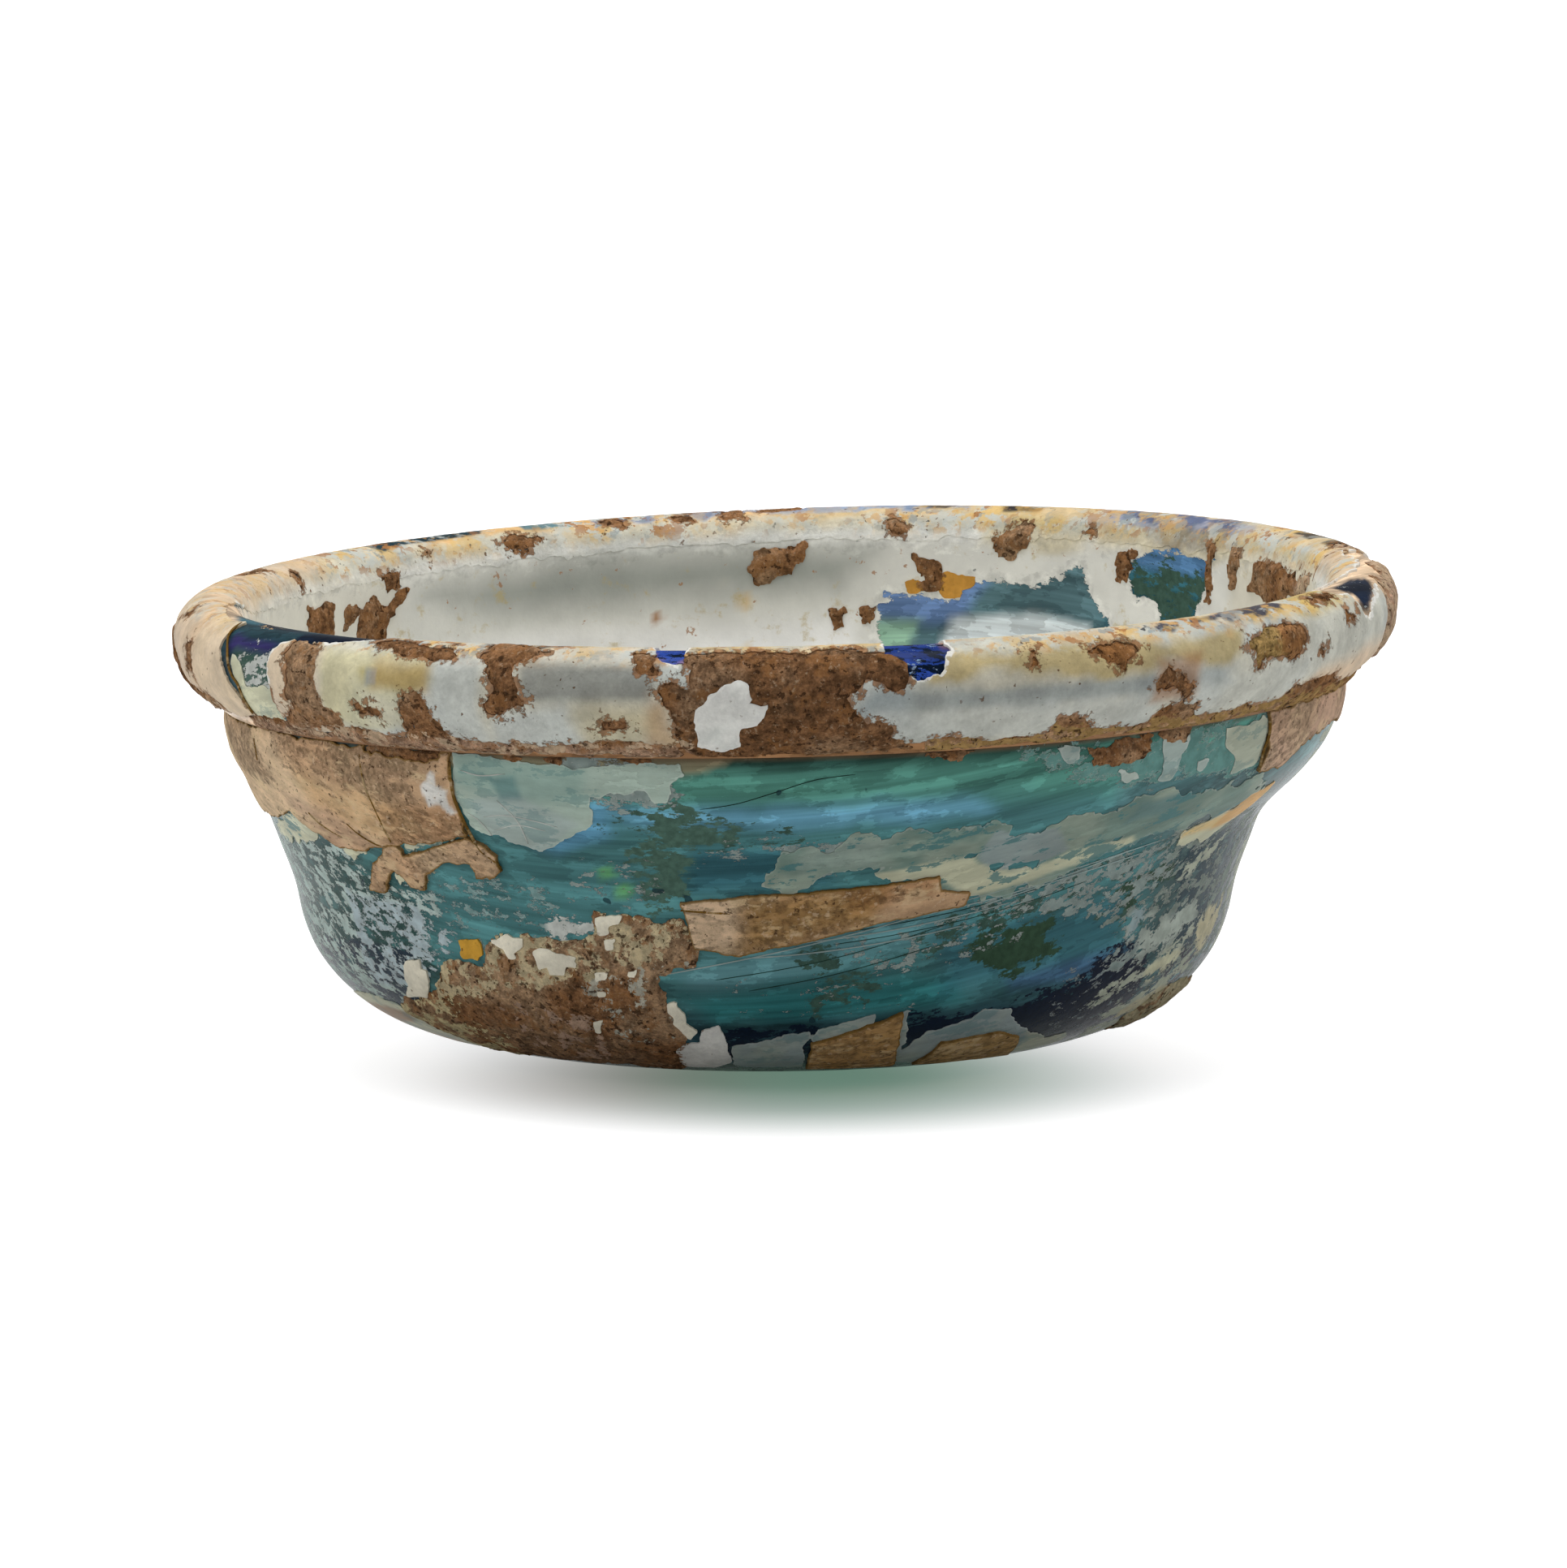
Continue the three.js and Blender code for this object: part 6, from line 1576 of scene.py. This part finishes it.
def fine_lines():
    line_piece("crack_lines_sheet", WALL, [
        [(-47.6, 0.7), (-47.5, 3), (-47.2, 5), (-46.6, 6.6), (-46.1, 7.8)],
        [(-69, 0.9), (-68.9, 1.6), (-69, 2.4)],
        [(-60.5, 6), (-59, 6.9), (-57, 7.6), (-55.2, 8.1)],
        [(-53, 6.4), (-51, 7.6), (-49, 8.3), (-47.4, 8.5)],
    ], "crust", GOLD_EDGE, width=0.14, height=0.08, lift=0.24)
    line_piece("edge_line_sheet", WALL, [
        [(-35.4, 0.7), (-35.5, 3), (-35.1, 5), (-34.3, 6.4), (-33.2, 7.9), (-31.6, 8.9), (-30.9, 9.7)],
        [(58, 0.7), (58.1, 1.6), (57.6, 2.6), (57.7, 3.2), (58.3, 4.1)],
        [(-9.7, 12.1), (-7, 12.2), (-4, 12.3)],
    ], "crust", GOLD_EDGE, width=0.2, height=0.14, lift=0.16)
    line_piece("edge_line_rim", RIM, [
        [(-65.8, 8.6), (-65.6, 7.6), (-64, 6.4), (-63, 5), (-61.9, 4.4), (-61.8, 3.6), (-62.2, 2.2)],
    ], "crust", GOLD_EDGE, width=0.16, height=0.12, lift=0.12)
    line_piece("film_edge_lines", WALL, [
        [(-12.4, 16.9), (-4, 15.9), (4, 14.9), (14, 13.5), (24, 11.9), (36, 10.5), (50, 9)],
        [(26, 12.4), (36, 11), (48, 9.8)],
        flow_line(3.8, 16, 46), flow_line(4.5, 2, 30), flow_line(5.3, -2, 24),
    ], "film", screen(150, 168, 166), width=0.09, height=0.05, lift=0.03)
    line_piece("film_veins", WALL, [
        [(-32.6, 4.6), (-30, 4.4), (-27, 4.7), (-24, 5.2)], [(-31.6, 5.8), (-28.6, 5.2), (-25.4, 5.6)],
        [(-30.4, 3.2), (-28.8, 4.6), (-27.4, 6.9)], [(-34.4, 1.2), (-32, 1.5), (-29, 1.3)],
        [(-34.6, 4.3), (-33.4, 4.9), (-31.8, 6.3)],
    ], "film", COOL_CREAM, width=0.08, height=0.04, lift=0.08)
    line_piece("scratches", WALL, [
        [(-8.6, 3.6), (-5, 3.2), (-1, 2.4), (3, 1.6), (7, 1.3)],
        [(-6, 17.2), (6, 16), (16, 14.6), (22, 13.6)],
        [(-2, 18), (8, 16.9), (20, 15.2)], flow_line(4.1, 4, 34), flow_line(4.9, 8, 40),
    ], "glass", SHADE_GREEN, width=0.06, height=0.02, lift=0.01)


glass_piece()
cover(RIM, RIM_PIECES)
cover(WALL, WALL_PIECES)
fine_lines()


# Camera, where the photograph was taken from
CAMERA_TILT = math.radians(7.77)
CAMERA_DISTANCE = 0.9
CAMERA_SIDE = -0.00009
AIM_HEIGHT = 0.01628
camera_data = bpy.data.cameras.new("camera")
camera_data.lens = 315.9
camera_data.sensor_width = 36
camera = bpy.data.objects.new("camera", camera_data)
camera.location = (
    CAMERA_SIDE,
    -CAMERA_DISTANCE * math.cos(CAMERA_TILT),
    AIM_HEIGHT + CAMERA_DISTANCE * math.sin(CAMERA_TILT),
)
camera.rotation_euler = (math.pi / 2 - CAMERA_TILT, 0, 0)
bpy.context.scene.collection.objects.link(camera)
bpy.context.scene.camera = camera


# Stage: a white floor that keeps the object's shadow and also has a painted shadow near the dish, warm grey
# at the left and with a painted green glow at the right, and a world that looks white and lights at a lower
# level
SHADOW_SHIFT = (0.0, 0.02, 0.0)
FLOOR_DROP = 0.0001
WHITE = (1.0, 1.0, 1.0, 1.0)
# The painted shadow's colours: warm grey, and green where it stands for light through the glass
WARM_SHADE = (0.42, 0.42, 0.36, 1.0)
GREEN_GLOW_SHADE = (0.3, 0.52, 0.4, 1.0)
PAPER_LIT = (0.72, 0.72, 0.72, 1.0)
PAPER_SEEN = (0.3, 0.3, 0.3, 1.0)
WORLD_LIGHT = 0.22


def seen_directly(surface):
    """1 for rays from the camera, and for those that gloss or glass sends on, and else 0."""
    rays = surface.node("ShaderNodeLightPath", {})
    seen = surface.number("MAXIMUM", rays.outputs["Is Camera Ray"], rays.outputs["Is Glossy Ray"])
    return surface.number("MAXIMUM", seen, rays.outputs["Is Transmission Ray"])


def white_floor():
    corners = [(x, y, 0) for x, y in box(-4.0, -4.0, 4.0, 4.0)]
    mesh = bpy.data.meshes.new("floor")
    mesh.from_pydata(corners, [], [(0, 1, 2, 3)])
    floor = bpy.data.objects.new("floor", mesh)
    floor.location.z = -FLOOR_DROP
    bpy.context.scene.collection.objects.link(floor)
    paper = Surface("white_floor", 0.9)
    moved = paper.node("ShaderNodeVectorMath", {0: paper.place, 1: SHADOW_SHIFT}, operation="ADD").outputs[0]
    distance = paper.node("ShaderNodeVectorMath", {0: moved}, operation="LENGTH").outputs["Value"]
    across = paper.node("ShaderNodeSeparateXYZ", {0: paper.place}).outputs[0]
    # Painted shadow near the dish: warm grey at the left, and a painted green glow at the right
    shade = paper.over(WARM_SHADE, GREEN_GLOW_SHADE, paper.band(across, -0.016, 0.004))
    tint = paper.over(shade, WHITE, paper.band(distance, 0.004, 0.026))
    paper.tree.links.new(tint, paper.shader.inputs["Emission Color"])
    seen = seen_directly(paper)
    colour = paper.over(PAPER_LIT, PAPER_SEEN, seen)
    paper.tree.links.new(colour, paper.shader.inputs["Base Color"])
    # Painted shadow: near the dish the floor glows less, so it looks grey there
    white = paper.band(distance, 0.006, 0.036, 0.42, 1.0)
    strength = paper.number("MULTIPLY", seen, white)
    paper.tree.links.new(strength, paper.shader.inputs["Emission Strength"])
    mesh.materials.append(paper.material)


def white_world():
    world = bpy.data.worlds.new("white")
    world.use_nodes = True
    tree = world.node_tree
    light = tree.nodes["Background"]
    light.inputs["Color"].default_value = WHITE
    light.inputs["Strength"].default_value = WORLD_LIGHT
    seen = tree.nodes.new("ShaderNodeBackground")
    rays = tree.nodes.new("ShaderNodeLightPath")
    blend = tree.nodes.new("ShaderNodeMixShader")
    tree.links.new(rays.outputs["Is Camera Ray"], blend.inputs[0])
    tree.links.new(light.outputs[0], blend.inputs[1])
    tree.links.new(seen.outputs[0], blend.inputs[2])
    seen.inputs["Color"].default_value = WHITE
    tree.links.new(blend.outputs[0], tree.nodes["World Output"].inputs["Surface"])
    bpy.context.scene.world = world


def soft_lamp(name, place, size, power):
    """A lamp that points at the middle of the floor."""
    data = bpy.data.lights.new(name, "AREA")
    data.size = size
    data.energy = power
    lamp = bpy.data.objects.new(name, data)
    lamp.location = place
    x, y, z = place
    turn = math.atan2(-x, y) + math.pi
    lamp.rotation_euler = (math.atan2(math.hypot(x, y), z), 0, turn)
    bpy.context.scene.collection.objects.link(lamp)


white_floor()
white_world()
soft_lamp("lamp_above", (0.0, 0.02, 0.75), size=0.5, power=5.2)
soft_lamp("lamp_left", (-0.8, -0.25, 0.35), size=0.4, power=2.2)
soft_lamp("lamp_right", (0.8, -0.1, 0.35), size=0.4, power=1.6)
bpy.context.scene.view_settings.view_transform = "Standard"
